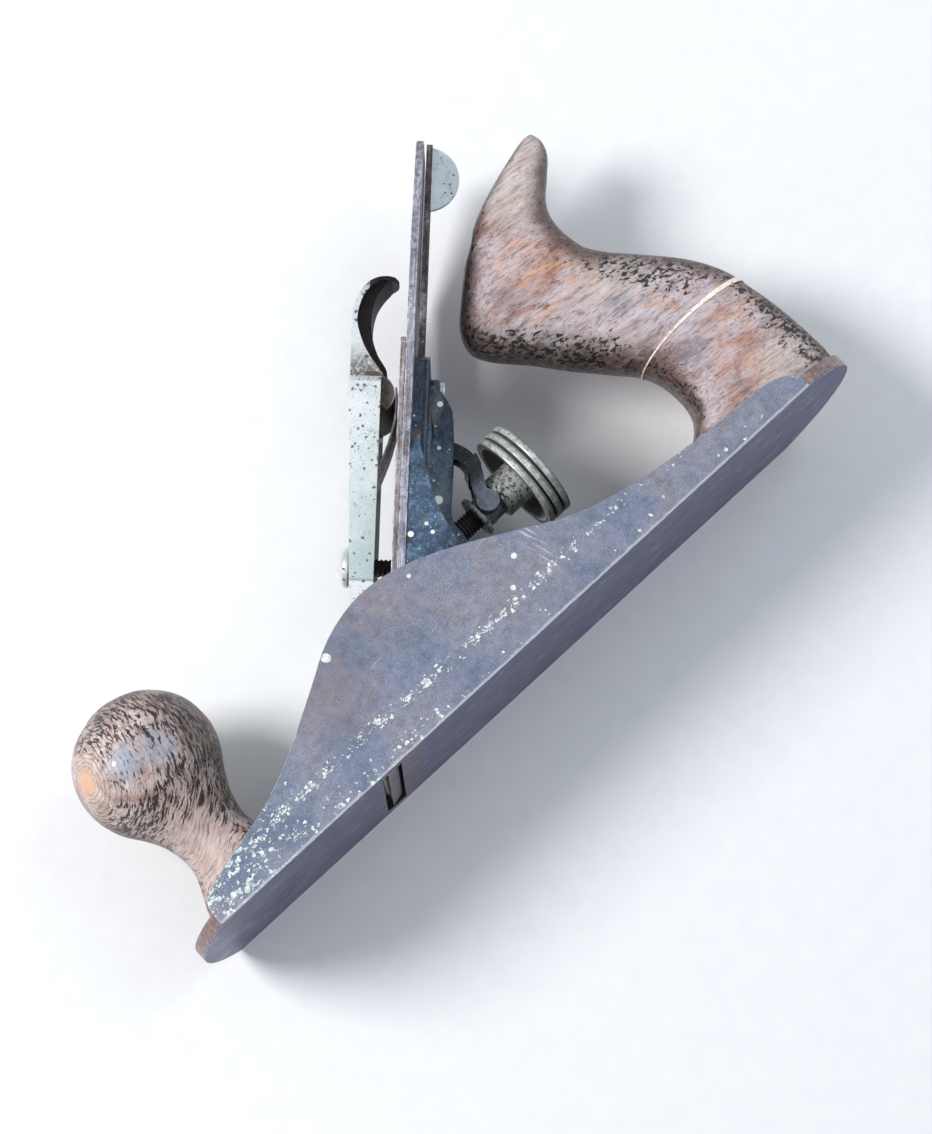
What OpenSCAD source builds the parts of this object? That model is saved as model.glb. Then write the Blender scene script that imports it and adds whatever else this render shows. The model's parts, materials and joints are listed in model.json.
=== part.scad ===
// Metal bench plane for smoothing wood.
// +X points to the toe, +Y to the left side, +Z up. The origin is on the sole, under the middle of the plane.

/* [Casting] */
// Overall length of the sole
plane_length = 248; // [247:0.5:249]
// Width of the sole
plane_width = 62; // [61.5:0.5:63]
// Thickness of the sole
sole_thickness = 4; // [3.5:0.1:4.5]
// Thickness of each cheek
cheek_thickness = 3.4; // [3:0.1:3.6]
// How far the rounded toe stands in front of the cheeks
toe_bow = 9.7; // [8:0.1:12]
// How far the rounded heel stands behind the cheeks
heel_bow = 20; // [18:0.1:22]

/* [Cutter] */
// Width of the cutting iron
iron_width = 50.8; // [50:0.1:51]
// Thickness of the cutting iron
iron_thickness = 2.2; // [2:0.1:2.2]
// Length of the cutting iron along the bed
iron_length = 190; // [180:1:195]
// Thickness of the cap iron
cap_thickness = 1.6; // [1.4:0.1:1.6]

/* [Depth wheel] */
// Radius of the wheel over its rims
wheel_radius = 15.6; // [15:0.1:16.2]
// Radius of the threaded stud
stud_radius = 3.3; // [3:0.1:3.3]

/* [Front knob] */
// Height of the knob's top above the sole
knob_top = 72; // [71:0.1:73]
// Distance from the middle of the plane to the knob's axis
knob_x = 99.4; // [98:0.1:101]

/* [Handle] */
// Thickness of the handle at the grip
grip_thickness = 23.5; // [22:0.5:25]

/* [Hidden] */

$fn = 64;

// Casting
half_length = plane_length / 2;
half_width = plane_width / 2;
toe_radius = (half_width * half_width + toe_bow * toe_bow) / (2 * toe_bow);
heel_radius = (half_width * half_width + heel_bow * heel_bow) / (2 * heel_bow);
seat_top = 12;
seat_width = 48;
boss_top = 7;
pad_top = 5;
mouth_half_width = 26.8;
mouth_front = 57;
mouth_back = 50.1;

// Bed: the iron's back face lies in the plane x = bed_x - z, at 45 degrees
bed_x = 51.8;
bed_gap = 0.04;
frog_width = 50;
frog_top = 122;
frog_back = -2;
frog_screw_x = 14;
frog_screw_y = 13;
frog_screw_z = seat_top + 5;
adjuster_z = 8;
clip_screw_z = 14.2;

// Distances along the bed, from the point where the bed plane meets the sole
lever_screw_u = 61.7;
cap_screw_u = 80;
yoke_u = 97;
yoke_v = -7;
roller_u = 107;
lateral_pivot_u = 114.5;
cam_u = 110;
cam_v = 12.5;
spring_rivet_u = 74;

// Depth wheel: its axis is level, and stations run from the front flange to the back
wheel_z = 41.5;
wheel_front = -16;
stud_front = -1.4;
bush_radius = stud_radius + 0.46;
nut_flange_radius = 6.3;
nut_groove_radius = 4.5;
tine_inner = 4.8;
tine_outer = 8.4;

iron_front = bed_gap + iron_thickness;
cap_back = iron_front + 0.04;
cap_front = cap_back + cap_thickness;
slot_half_width = 5.8;

glue_low = 39.6;
tote_base = pad_top + 0.05;
nub_x = -60;
rod_foot = [-102, 0, 4];
rod_tilt = 18;

steel = "#5c5258";
nickel = "#b9bcb0";
wood = "#7a5138";
brass = "#a3936a";

// ---- helpers ----

// One point of a smooth curve through four neighbours
function curve_point(a, b, c, d, t) =
    0.5 * (2 * b + (c - a) * t + (2 * a - 5 * b + 4 * c - d) * t * t + (3 * b - a - 3 * c + d) * t * t * t);

// A smooth curve through the points p, with n steps between neighbours
function smooth(p, n = 4) = concat(
    [for (i = [0 : len(p) - 2]) for (k = [0 : n - 1])
        curve_point(p[max(i - 1, 0)], p[i], p[i + 1], p[min(i + 2, len(p) - 1)], k / n)],
    [p[len(p) - 1]]);

function unit(v) = v / norm(v);
function normal_at(c, i) =
    let (d = unit(c[min(i + 1, len(c) - 1)] - c[max(i - 1, 0)])) [-d[1], d[0]];

// The outline of a band of half-width w along the centre line c
function band(c, w) = concat(
    [for (i = [0 : len(c) - 1]) c[i] + w * normal_at(c, i)],
    [for (i = [len(c) - 1 : -1 : 0]) c[i] - w * normal_at(c, i)]);

// A flat outline in X and Z, made into a slab of the given width across Y
module slab(width) {
    rotate([90, 0, 0]) linear_extrude(height = width, center = true) children();
}

// Children drawn with X up along the bed, Y across and Z out of the bed
module on_bed() {
    translate([bed_x, 0, 0]) rotate([0, 45, 0]) rotate([0, 0, 180]) children();
}

// A round bar out of the bed, from height v0 to v1 at distance u along it
module bed_bar(u, r, v0, v1) {
    translate([u, 0, v0]) cylinder(r = r, h = v1 - v0);
}

// A slot with round ends, from u0 to u1 along the bed
module bed_slot(u0, u1, half, v0, v1) {
    translate([u0, -half, v0]) cube([u1 - u0, 2 * half, v1 - v0]);
    bed_bar(u0, half, v0, v1);
    bed_bar(u1, half, v0, v1);
}

// A round bar along X, from x0 to x1
module level_bar(r, x0, x1, z) {
    translate([x0, 0, z]) rotate([0, 90, 0]) cylinder(r = r, h = x1 - x0);
}

// A round bar across Y, at a point along and out of the bed
module cross_bar(u, v, r, width) {
    translate([u, 0, v]) rotate([90, 0, 0]) cylinder(r = r, h = width, center = true);
}

module both_sides(y) {
    for (side = [-1, 1]) translate([0, side * y, 0]) children();
}

// ---- body casting ----

module sole_outline() {
    intersection() {
        translate([half_length - toe_radius, 0]) circle(r = toe_radius, $fn = 120);
        translate([0, -half_width]) square([half_length, plane_width]);
    }
    translate([heel_bow - half_length, -half_width])
        square([plane_length - heel_bow - toe_radius + 20, plane_width]);
    intersection() {
        translate([heel_radius - half_length, 0]) circle(r = heel_radius, $fn = 120);
        translate([-half_length, -half_width]) square([heel_bow + 1, plane_width]);
    }
}

// Side view of a cheek: low at both ends, highest beside the iron
cheek_top = smooth([
    [114.2, 1], [113.6, 6.5], [110, 9], [98, 12.4], [86, 15.5], [72, 21.2], [56, 30.2], [42, 38],
    [28, 41.2], [14, 39.4], [-2, 33], [-18, 24.4], [-31, 17.8], [-46, 13.6], [-66, 10.6],
    [-86, 9.2], [-96, 8.4], [-102, 5.8], [-104, 1],
]);

module body_casting() {
    color("#6b6772") difference() {
        union() {
            linear_extrude(height = sole_thickness) sole_outline();
            intersection() {
                linear_extrude(height = 50) sole_outline();
                both_sides(half_width - cheek_thickness / 2)
                    slab(cheek_thickness) polygon(concat(cheek_top, [[-104, 0], [114.2, 0]]));
            }
            // Seat for the frog, its front parallel to the bed
            slab(seat_width) polygon([
                [0, 1], [0, seat_top], [mouth_back - seat_top, seat_top], [mouth_back - 1, 1],
            ]);
            // Thicker sole in front of the mouth
            slab(plane_width - 2 * cheek_thickness + 1)
                polygon([[mouth_front, 1], [mouth_front, 6.5], [64, 6], [68, 1]]);
            // Boss under the knob
            translate([knob_x, 0, 1]) cylinder(r = 13, h = boss_top - 1);
            // Pad, rod boss and locating nub under the handle
            translate([-119, -9, 1]) cube([66, 18, pad_top - 1]);
            translate(rod_foot) rotate([0, rod_tilt, 0]) cylinder(r = 5.4, h = 6);
            translate([nub_x, 0, 1]) cylinder(r = 2.5, h = 7);
        }
        // Mouth
        slab(2 * mouth_half_width)
            polygon([[mouth_back + 1, -1], [mouth_front, -1], [mouth_front, 9], [mouth_back - 9, 9]]);
        // Threaded holes
        translate([knob_x, 0, 1.4]) cylinder(r = 2.9, h = boss_top);
        translate(rod_foot) rotate([0, rod_tilt, 0]) translate([0, 0, -1.5]) cylinder(r = 2.9, h = 10);
        both_sides(frog_screw_y) translate([frog_screw_x, 0, 5]) cylinder(r = 2.6, h = 10);
        level_bar(2.55, -1, 12, adjuster_z);
        // Relief groove across the frog seat
        slab(seat_width + 1) polygon([
            [24, seat_top - 1.5], [24, seat_top + 1], [30, seat_top + 1], [30, seat_top - 1.5],
        ]);
    }
}

// ---- front knob ----

module front_knob() {
    profile = smooth([
        [15.4, boss_top + 0.05], [15.4, 9.5], [14, 12.8], [12.1, 16.8], [10.9, 21], [10.8, 25.5], [12.2, 31],
        [15, 36.5], [18.6, 42], [20.8, 48], [21.2, 53.5], [20.2, 59], [17.6, 64], [13.2, 68.4], [9, 70.8],
        [6.2, knob_top - 0.5],
    ]);
    color(wood) translate([knob_x, 0, 0]) difference() {
        rotate_extrude() polygon(concat([[0, boss_top + 0.05]], profile, [[0, knob_top - 0.5]]));
        translate([0, 0, 1]) cylinder(r = 3, h = 80);
        translate([0, 0, 56]) cylinder(r = 4, h = 20);
        translate([0, 0, 69.4]) cylinder(r = 5.8, h = 5);
    }
}

module knob_bolt() {
    color(steel) translate([knob_x, 0, 1.5]) cylinder(r = 2.8, h = 64);
}

module knob_nut() {
    color(brass) translate([knob_x, 0, 0]) difference() {
        union() {
            translate([0, 0, 57]) cylinder(r = 3.9, h = 13);
            translate([0, 0, 69.5]) cylinder(r = 5.7, h = knob_top - 69.5);
        }
        translate([0, 0, 56]) cylinder(r = 2.85, h = 10);
        translate([-7, -0.8, knob_top - 1.1]) cube([14, 1.6, 3]);
    }
}

// ---- handle ----

// Each station is [front x, front z, back x, back z, thickness], from the tip of the horn to the foot
tote_stations = [
    [-106.9, 116.4, -108.6, 114.6, 5], [-104, 116.2, -108.9, 111.6, 9], [-99, 114.9, -107.2, 107.6, 12.5],
    [-90, 112.2, -102.6, 102.9, 17], [-79, 108, -97.6, 98.3, 20.5], [-68.5, 101.5, -94.6, 93.6, 22.5],
    [-59, 93.6, -93.7, 88.8, grip_thickness], [-51.8, 86.6, -93.9, 84.2, grip_thickness],
    [-48.9, 79.6, -95, 79, grip_thickness], [-51.6, 73.4, -98.2, 74.4, grip_thickness],
    [-58.4, 65.6, -103.8, 68, grip_thickness], [-66.4, 55.8, -110.6, 60.6, grip_thickness],
    [-73.6, 47.4, -116.2, 52.8, grip_thickness], [-79.4, 40.8, -120, 44.6, grip_thickness],
    [-82.3, 35, -121.8, 36, grip_thickness], [-83.4, 28, -122.9, 28, grip_thickness],
    [-82.6, 21.8, -123.4, 20.5, grip_thickness], [-79, 17, -123.6, 14.5, grip_thickness],
    [-71, 12.4, -123.6, 10.4, grip_thickness], [-60, 9.8, -123.5, 8.4, grip_thickness],
    [-53.5, 8, -123.3, 7, grip_thickness - 1], [-52, tote_base, -123, tote_base, grip_thickness - 1],
];

// A section is a rounded rectangle: its corners get squarer towards the foot
tote_sides = 24;
function round_power(x, p) = sign(x) * pow(abs(x), p);
function tote_ring(s, squareness) =
    let (middle = [(s[0] + s[2]) / 2, (s[1] + s[3]) / 2], reach = [(s[0] - s[2]) / 2, (s[1] - s[3]) / 2])
    [for (k = [0 : tote_sides - 1])
        let (a = 360 * (k + 0.5) / tote_sides, along = round_power(cos(a), squareness),
             across = round_power(sin(a), squareness))
        [middle[0] + reach[0] * along, across * s[4] / 2, middle[1] + reach[1] * along]];

module tote_blank() {
    last = len(tote_stations) - 1;
    points = [for (i = [0 : last]) each tote_ring(tote_stations[i], i < 12 ? 0.8 : 0.8 - 0.04 * (i - 12))];
    sides = [for (i = [0 : last - 1]) for (k = [0 : tote_sides - 1])
        let (a = i * tote_sides + k, b = i * tote_sides + (k + 1) % tote_sides)
        each [[a, b, b + tote_sides], [a, b + tote_sides, a + tote_sides]]];
    top = [[for (k = [tote_sides - 1 : -1 : 0]) k]];
    bottom = [[for (k = [0 : tote_sides - 1]) last * tote_sides + k]];
    difference() {
        polyhedron(points = points, faces = concat(top, sides, bottom));
        translate(rod_foot) rotate([0, rod_tilt, 0]) {
            translate([0, 0, -5]) cylinder(r = 3, h = 130);
            translate([0, 0, -5]) cylinder(r = 5.7, h = 11.6);
            translate([0, 0, 84]) cylinder(r = 4, h = 40);
            translate([0, 0, 97.5]) cylinder(r = 6, h = 40);
        }
        translate([nub_x, 0, 0]) cylinder(r = 2.7, h = 8.3);
    }
}

// Side view of the mended break: a shallow arch, open at the back of the grip
break_low = smooth([
    [-130, glue_low - 2], [-118, glue_low + 0.5], [-101, glue_low + 1.7], [-86, glue_low + 0.8],
    [-72, glue_low - 2],
]);
break_high = smooth([
    [-130, glue_low], [-118, glue_low + 2.1], [-101, glue_low + 2.7], [-86, glue_low + 1.3],
    [-72, glue_low - 1.6],
]);
glue_gap = 0.02;

module tote_upper() {
    color(wood) intersection() {
        tote_blank();
        slab(60) polygon(concat(
            [for (p = break_high) p + [0, glue_gap]], [[-40, glue_low], [-40, 130], [-130, 130]]));
    }
}

module tote_lower() {
    color(wood) intersection() {
        tote_blank();
        slab(60) polygon(concat(
            [for (p = break_low) p - [0, glue_gap]], [[-40, glue_low - 4], [-40, 0], [-130, 0]]));
    }
}

module tote_glue_line() {
    color("#cdbb9c") intersection() {
        tote_blank();
        slab(60) polygon(concat(break_low, [for (i = [len(break_high) - 1 : -1 : 0]) break_high[i]]));
    }
}

module tote_rod() {
    color(steel) translate(rod_foot) rotate([0, rod_tilt, 0]) translate([0, 0, -1]) cylinder(r = 2.8, h = 92);
}

module tote_nut() {
    color(brass) translate(rod_foot) rotate([0, rod_tilt, 0]) difference() {
        union() {
            translate([0, 0, 86]) cylinder(r = 3.9, h = 12);
            translate([0, 0, 97.6]) cylinder(r = 5.8, h = 2.6);
        }
        translate([0, 0, 85]) cylinder(r = 2.85, h = 8);
        translate([-7, -0.8, 99.2]) cube([14, 1.6, 3]);
    }
}

// ---- frog ----

frog_plan = [
    [15, -frog_width / 2], [90, -frog_width / 2], [94.5, -23.4], [97.5, -19.5], [100, -16.2], [104, -15],
    [116, -15], [120, -13.4], [frog_top, -10], [frog_top, 10], [120, 13.4], [116, 15], [104, 15],
    [100, 16.2], [97.5, 19.5], [94.5, 23.4], [90, frog_width / 2], [15, frog_width / 2],
];
web_back = smooth([
    [-15.4, 63.4], [-11.9, 57.4], [-6.8, 47.4], [-3.4, 34.7], [frog_back, 24], [frog_back, seat_top],
]);
spine_back = smooth([
    [-33, 76.4], [-31.2, 67.4], [-22, 57.2], [-10.4, 45.4], [-8.6, 37.4], [-7, 28], [-4.6, 21],
    [-1.9, seat_top + 4.6],
]);

module frog_solid() {
    on_bed() {
        // Bed plate, thinner at its sides
        difference() {
            translate([0, 0, -4.2]) linear_extrude(height = 4.2) polygon(frog_plan);
            both_sides(12.6 + 20) translate([0, -20, -8]) cube([frog_top + 1, 40, 8 - 2.7]);
        }
        bed_bar(lateral_pivot_u, 3.8, -6.8, -4);
    }
    // Foot on the seat
    slab(frog_width - 0.1) polygon([
        [frog_back, seat_top], [frog_back, frog_screw_z], [bed_x - frog_screw_z - 1, frog_screw_z],
        [bed_x - seat_top - 1, seat_top],
    ]);
    // Webs at both sides and a spine in the middle, each joined to the bed plate 1 mm below its face
    both_sides(frog_width / 2 - 1.95)
        slab(3.8) polygon(concat(web_back, [[bed_x - seat_top - 1, seat_top], [-13.2, 64]]));
    slab(18) polygon(concat(spine_back, [[8, seat_top + 4], [8, bed_x - 9], [-27.4, bed_x + 26.4]]));
}

module frog() {
    color("#3a424e") difference() {
        frog_solid();
        // Nothing of the frog goes below its seat
        translate([-20, -40, seat_top - 20 + 0.02]) cube([90, 80, 20]);
        on_bed() {
            // Lever cap screw thread
            bed_bar(lever_screw_u, 2.75, -10.2, 1);
            // Window for the cap iron screw's head
            bed_slot(77.5, 82.5, 7, -4, 1);
            // Recess for the lateral lever and its roller
            bed_bar(roller_u, 6.6, -2.6, 1);
            bed_bar(lateral_pivot_u, 6.6, -2.6, 1);
            translate([roller_u, -5.8, -2.6]) cube([20, 11.6, 4]);
            bed_bar(lateral_pivot_u, 2, -12, 1);
            bed_bar(lateral_pivot_u, 3.3, -12, -6.8);
            // Yoke slot and the bore for its pin
            slab(7.8) polygon([
                [yoke_u - 4.8, 1], [yoke_u + 4.4, 1], [yoke_u + 5.6, yoke_v], [yoke_u + 5.6, -20],
                [yoke_u - 12, -20], [yoke_u - 6, yoke_v],
            ]);
            cross_bar(yoke_u, yoke_v, 1.62, 30);
        }
        // Wells and slots for the two hold-down screws
        both_sides(frog_screw_y) {
            translate([frog_screw_x, 0, frog_screw_z]) cylinder(r = 6.5, h = 60);
            translate([frog_screw_x - 1.4, -3, 5]) cube([2.8, 6, 20]);
            for (x = [-1.4, 1.4]) translate([frog_screw_x + x, 0, 5]) cylinder(r = 3, h = 20);
        }
        // Spot face behind the stud, to clear the wheel's front flange
        level_bar(nut_flange_radius + 0.8, -40, wheel_front + 4.3, wheel_z);
        // Threads for the stud and for the clip's screw
        level_bar(stud_radius + 0.01, -14, stud_front + 0.1, wheel_z);
        level_bar(1.5, -4, 5, clip_screw_z);
    }
}

module frog_screws() {
    color(steel) both_sides(frog_screw_y) translate([frog_screw_x, 0, 0]) difference() {
        union() {
            translate([0, 0, 5.5]) cylinder(r = 2.5, h = 13);
            translate([0, 0, frog_screw_z + 1.15]) cylinder(r = 5.2, h = 3.6);
        }
        translate([-6, -0.7, frog_screw_z + 3.2]) cube([12, 1.4, 3]);
    }
}

module frog_washers() {
    color(steel) both_sides(frog_screw_y) translate([frog_screw_x, 0, frog_screw_z + 0.05]) difference() {
        cylinder(r = 6, h = 1.05);
        translate([0, 0, -1]) cylinder(r = 2.55, h = 3);
    }
}

module frog_clip() {
    color(steel) difference() {
        translate([frog_back - 1.65, -5, 4.7]) cube([1.55, 10, 11.9]);
        level_bar(1.8, frog_back - 3, frog_back + 1, adjuster_z);
        translate([frog_back - 3, -1.8, 3]) cube([4, 3.6, adjuster_z - 3]);
        level_bar(1.5, frog_back - 3, frog_back + 1, clip_screw_z);
    }
}

module frog_clip_screw() {
    color(steel) difference() {
        union() {
            level_bar(1.45, frog_back - 2.5, 4, clip_screw_z);
            level_bar(2.4, frog_back - 3.3, frog_back - 1.7, clip_screw_z);
        }
        translate([frog_back - 3.8, -3, clip_screw_z - 0.3]) cube([1, 6, 0.6]);
    }
}

module frog_adjusting_screw() {
    color(steel) difference() {
        union() {
            level_bar(2.45, frog_back + 0.1, 10.5, adjuster_z);
            level_bar(1.65, frog_back - 2, frog_back + 0.5, adjuster_z);
            level_bar(3.8, frog_back - 6.5, frog_back - 1.8, adjuster_z);
        }
        translate([frog_back - 8, -4.5, adjuster_z - 0.5]) cube([3, 9, 1]);
    }
}

// ---- depth adjustment ----

module adjusting_stud() {
    color(steel) level_bar(stud_radius, -40.4, stud_front, wheel_z);
}

// Wheel profile: [radius, distance behind the front flange]
module adjusting_wheel() {
    groove_front = 1.45;
    groove_back = 8.35;
    web_front = 19.6;
    rim_front = 14.8;
    wheel_length = 22.7;
    rim_inner = 13;
    ridge = 2.1;
    pitch = (wheel_length - rim_front - ridge) / 2;
    color(brass) translate([wheel_front, 0, wheel_z]) rotate([0, -90, 0]) difference() {
        rotate_extrude() polygon([
            [0, 0], [nut_flange_radius, 0], [nut_flange_radius, groove_front],
            [nut_groove_radius, groove_front], [nut_groove_radius, groove_back],
            [nut_flange_radius, groove_back], [nut_flange_radius, web_front],
            [rim_inner, web_front], [rim_inner, rim_front], [wheel_radius, rim_front],
            [wheel_radius, wheel_length], [0, wheel_length],
        ]);
        translate([0, 0, -1]) cylinder(r = bush_radius + 0.06, h = 40);
        for (i = [0, 1]) translate([0, 0, rim_front + ridge + i * pitch]) difference() {
            cylinder(r = wheel_radius + 1, h = pitch - ridge);
            translate([0, 0, -1]) cylinder(r = wheel_radius - 1.2, h = 10);
        }
    }
}

module adjusting_bush() {
    color(brass) translate([wheel_front - 0.2, 0, wheel_z]) rotate([0, -90, 0]) difference() {
        cylinder(r = bush_radius, h = 22.3);
        translate([0, 0, -1]) cylinder(r = stud_radius + 0.06, h = 40);
    }
}

// Centre line of the yoke, from its pivot to the middle of the wheel's groove
yoke_pivot_x = bed_x + (yoke_v - yoke_u) / sqrt(2);
yoke_pivot_z = (yoke_v + yoke_u) / sqrt(2);
tine_x = -20.9;
yoke_line = smooth([
    [yoke_pivot_x, yoke_pivot_z], [-24.6, 60], [-25.8, 55.5], [-24.6, 51], [-22.3, 47], [-21.1, 44.5],
    [tine_x, wheel_z],
]);

module yoke() {
    color("#59636f") difference() {
        union() {
            on_bed() {
                slab(6.8) polygon([
                    [yoke_u - 2.6, yoke_v], [yoke_u - 1.5, -2], [yoke_u - 1.5, 2.8],
                    [yoke_u + 1.5, 2.8], [yoke_u + 1.5, -2], [yoke_u + 2.6, yoke_v],
                ]);
                cross_bar(yoke_u, 2.8, 1.5, 6.8);
                cross_bar(yoke_u, yoke_v, 3.6, 6.8);
            }
            intersection() {
                slab(6.8) polygon(band(yoke_line, 2.2));
                translate([-40, -5, 51]) cube([40, 10, 20]);
            }
            intersection() {
                slab(2 * tine_outer) polygon(band(yoke_line, 2.2));
                translate([-40, -10, 50.6]) cube([40, 20, 3.4]);
            }
            both_sides((tine_inner + tine_outer) / 2) {
                intersection() {
                    slab(tine_outer - tine_inner) polygon(band(yoke_line, 1.9));
                    translate([-40, -5, 40]) cube([40, 10, 12]);
                }
                translate([tine_x, 0, wheel_z]) rotate([90, 0, 0])
                    cylinder(r = 3.3, h = tine_outer - tine_inner, center = true);
            }
        }
        on_bed() cross_bar(yoke_u, yoke_v, 1.66, 30);
    }
}

module yoke_pin() {
    color(steel) on_bed() cross_bar(yoke_u, yoke_v, 1.6, 18);
}

// ---- lateral adjustment ----

module lateral_lever() {
    stem = [
        [lateral_pivot_u, -5], [124, -4], [168, -3], [172, -3.4], [190, -3.4],
        [190, 3.4], [172, 3.4], [168, 3], [124, 4], [lateral_pivot_u, 5],
    ];
    color(steel) on_bed() difference() {
        union() {
            translate([0, 0, -2.3]) linear_extrude(height = 1.8) polygon(stem);
            bed_bar(lateral_pivot_u, 5.2, -2.3, -0.5);
            bed_bar(roller_u, 4.8, -2.3, -0.5);
            translate([roller_u, -4.2, -2.3]) cube([8, 8.4, 1.8]);
            bed_bar(roller_u, 1.4, -2.3, 2);
            // Thumb tab, a disc cut off where it meets the stem
            intersection() {
                cross_bar(180.2, -0.4, 10, 1.6);
                translate([165, -5, -12]) cube([30, 10, 10.5]);
            }
        }
        bed_bar(lateral_pivot_u, 2.02, -5, 5);
    }
}

module lateral_rivet() {
    color(steel) on_bed() {
        bed_bar(lateral_pivot_u, 1.96, -7, -0.4);
        bed_bar(lateral_pivot_u, 3, -8.6, -6.9);
    }
}

module lateral_roller() {
    color(steel) on_bed() difference() {
        bed_bar(roller_u, 5, -0.42, 1.95);
        bed_bar(roller_u, 1.46, -2, 4);
    }
}

// ---- cutter ----

module plane_iron() {
    edge_u = 0.1 * sqrt(2) - iron_front;
    bevel = iron_thickness / tan(30);
    half = iron_width / 2;
    top_u = edge_u + iron_length;
    taper_u = 150;
    color(steel) on_bed() difference() {
        intersection() {
            slab(iron_width) polygon([
                [edge_u, iron_front], [top_u, iron_front], [top_u, bed_gap], [edge_u + bevel, bed_gap],
            ]);
            linear_extrude(height = 10, center = true) polygon([
                [edge_u - 1, -half], [taper_u, -half], [top_u - 2.5, -14], [top_u, -11],
                [top_u, 11], [top_u - 2.5, 14], [taper_u, half], [edge_u - 1, half],
            ]);
        }
        bed_slot(55, 134, slot_half_width, -1, 4);
        bed_bar(138, 8.2, -1, 4);
    }
}

// Side view of the cap iron's front and back faces near the mouth, where it arches up
module cap_iron() {
    cap_top = 123.6;
    front = smooth([
        [36, cap_front], [29, cap_front + 0.05], [22, 4.5], [14, 6], [9, 6.3], [4.2, 5.3], [1, 3.7],
        [-0.6, cap_back],
    ], 3);
    back = smooth([
        [0.8, cap_back], [3.6, 3.6], [8.6, 4.7], [13, 4.4], [20, 3.1], [27, cap_back + 0.1],
        [34, cap_back],
    ], 3);
    color("#6a5a54") on_bed() difference() {
        slab(iron_width - 1) polygon(concat([[cap_top, cap_front]], front, back, [[cap_top, cap_back]]));
        bed_slot(lever_screw_u - 1.5, lever_screw_u + 1.5, 5, 0, 10);
        bed_bar(cap_screw_u, 3.45, 0, 10);
        translate([yoke_u - 1.75, -4.2, 0]) cube([3.5, 8.4, 10]);
        both_sides(iron_width / 2 - 0.5) translate([cap_top, 0, 3]) rotate([0, 0, 45])
            cube([3, 3, 6], center = true);
    }
}

module cap_iron_screw() {
    color(steel) on_bed() difference() {
        union() {
            bed_bar(cap_screw_u, 6.3, -3.4, -0.02);
            bed_bar(cap_screw_u, 3.4, -1, cap_front - 0.2);
        }
        translate([cap_screw_u - 7, -0.7, -4]) cube([14, 1.4, 1.8]);
    }
}

// ---- lever cap ----

cap_face = smooth([[20, 9.4], [28, 11.7], [40, 14.2], [52, 15.7], [62, 16.3]]);

module lever_cap() {
    narrow = 14.5;
    wide = 24.5;
    flare = smooth([[34, wide], [40, 23], [46, 18.6], [51, 15.6], [57, narrow]]);
    right_side = [for (i = [len(flare) - 1 : -1 : 0]) [flare[i][0], -flare[i][1]]];
    color(nickel) on_bed() difference() {
        intersection() {
            slab(2 * wide) polygon(concat(
                [[13, 6.6], [13, 7.3]], cap_face, [[115, 18.6], [115, 9.4], [52, 9.1], [20, 6.9]]));
            linear_extrude(height = 30) polygon(concat(
                [[12, -wide], [12, wide]], flare,
                [[113, narrow], [115, narrow - 2], [115, 2 - narrow], [113, -narrow]], right_side));
        }
        // Hollow back
        slab(24) polygon([[30, 0], [30, 8.8], [40, 11.4], [52, 13.1], [88, 15], [106, 15.8], [106, 0]]);
        // Notch for the cam lever
        translate([103.2, -12, 0]) cube([20, 24, 30]);
        cross_bar(cam_u, cam_v, 1.74, 40);
        // Keyhole
        bed_bar(53, 6.6, 0, 30);
        bed_slot(53, lever_screw_u, 3.2, 0, 30);
        bed_bar(spring_rivet_u, 1.65, 0, 16);
    }
}

module lever_cap_screw() {
    color("#c9bfb4") on_bed() difference() {
        union() {
            bed_bar(lever_screw_u, 2.65, -9.5, 17.5);
            translate([lever_screw_u, 0, 16.8]) rotate_extrude() polygon(concat(
                [[0, 0], [5.8, 0]],
                [for (a = [0 : 10 : 80]) [5.8 * cos(a), 0.7 + 2.9 * sin(a)]],
                [[0, 3.6]]));
        }
        translate([lever_screw_u - 7, -0.6, 19]) cube([14, 1.2, 3]);
    }
}

module lever_cap_spring() {
    line = smooth([[69, 13.5], [78, 13.75], [84, 11.2], [94, 7.5], [102, 5.5], [108, 5.03], [113, 5.2]]);
    color(steel) on_bed() difference() {
        slab(18) polygon(band(line, 0.25));
        bed_bar(spring_rivet_u, 1.7, 10, 16);
    }
}

module spring_rivet() {
    color(steel) on_bed() {
        bed_bar(spring_rivet_u, 1.6, 12.8, 15.9);
        bed_bar(spring_rivet_u, 3, 12.2, 13.3);
    }
}

// Side view of the thumb lever: nearly straight, then curling over towards the iron
hook_front = smooth([
    [110, 18.3], [122, 18.5], [132, 18.6], [137, 18], [141.3, 16.3], [144.6, 13.6], [146.7, 10.4],
    [147.8, 7.2], [147.3, 5.7],
]);
hook_back = smooth([
    [146.4, 6.2], [146.3, 8.2], [145, 11.2], [142.9, 13.4], [139.1, 15.8], [132.7, 17.1], [127, 15.8],
    [122, 13.4], [116, 9],
]);
rib_back = smooth([
    [146.2, 8.2], [143.6, 10.4], [139.8, 12.4], [134.4, 13.3], [128.6, 12.8], [123.2, 11], [118.4, 8.2],
    [114, 8.4],
]);

// The curled end of the thumb lever narrows to a rounded tip
module lever_tip() {
    translate([138, 0, 0]) rotate([90, 0, 90]) linear_extrude(height = 12) polygon([
        [-11.7, 20], [-11.7, 16.4], [-11, 14], [-9.4, 11.4], [-7, 9], [-4.4, 7], [-2, 5.9], [2, 5.9],
        [4.4, 7], [7, 9], [9.4, 11.4], [11, 14], [11.7, 16.4], [11.7, 20],
    ]);
}

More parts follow.
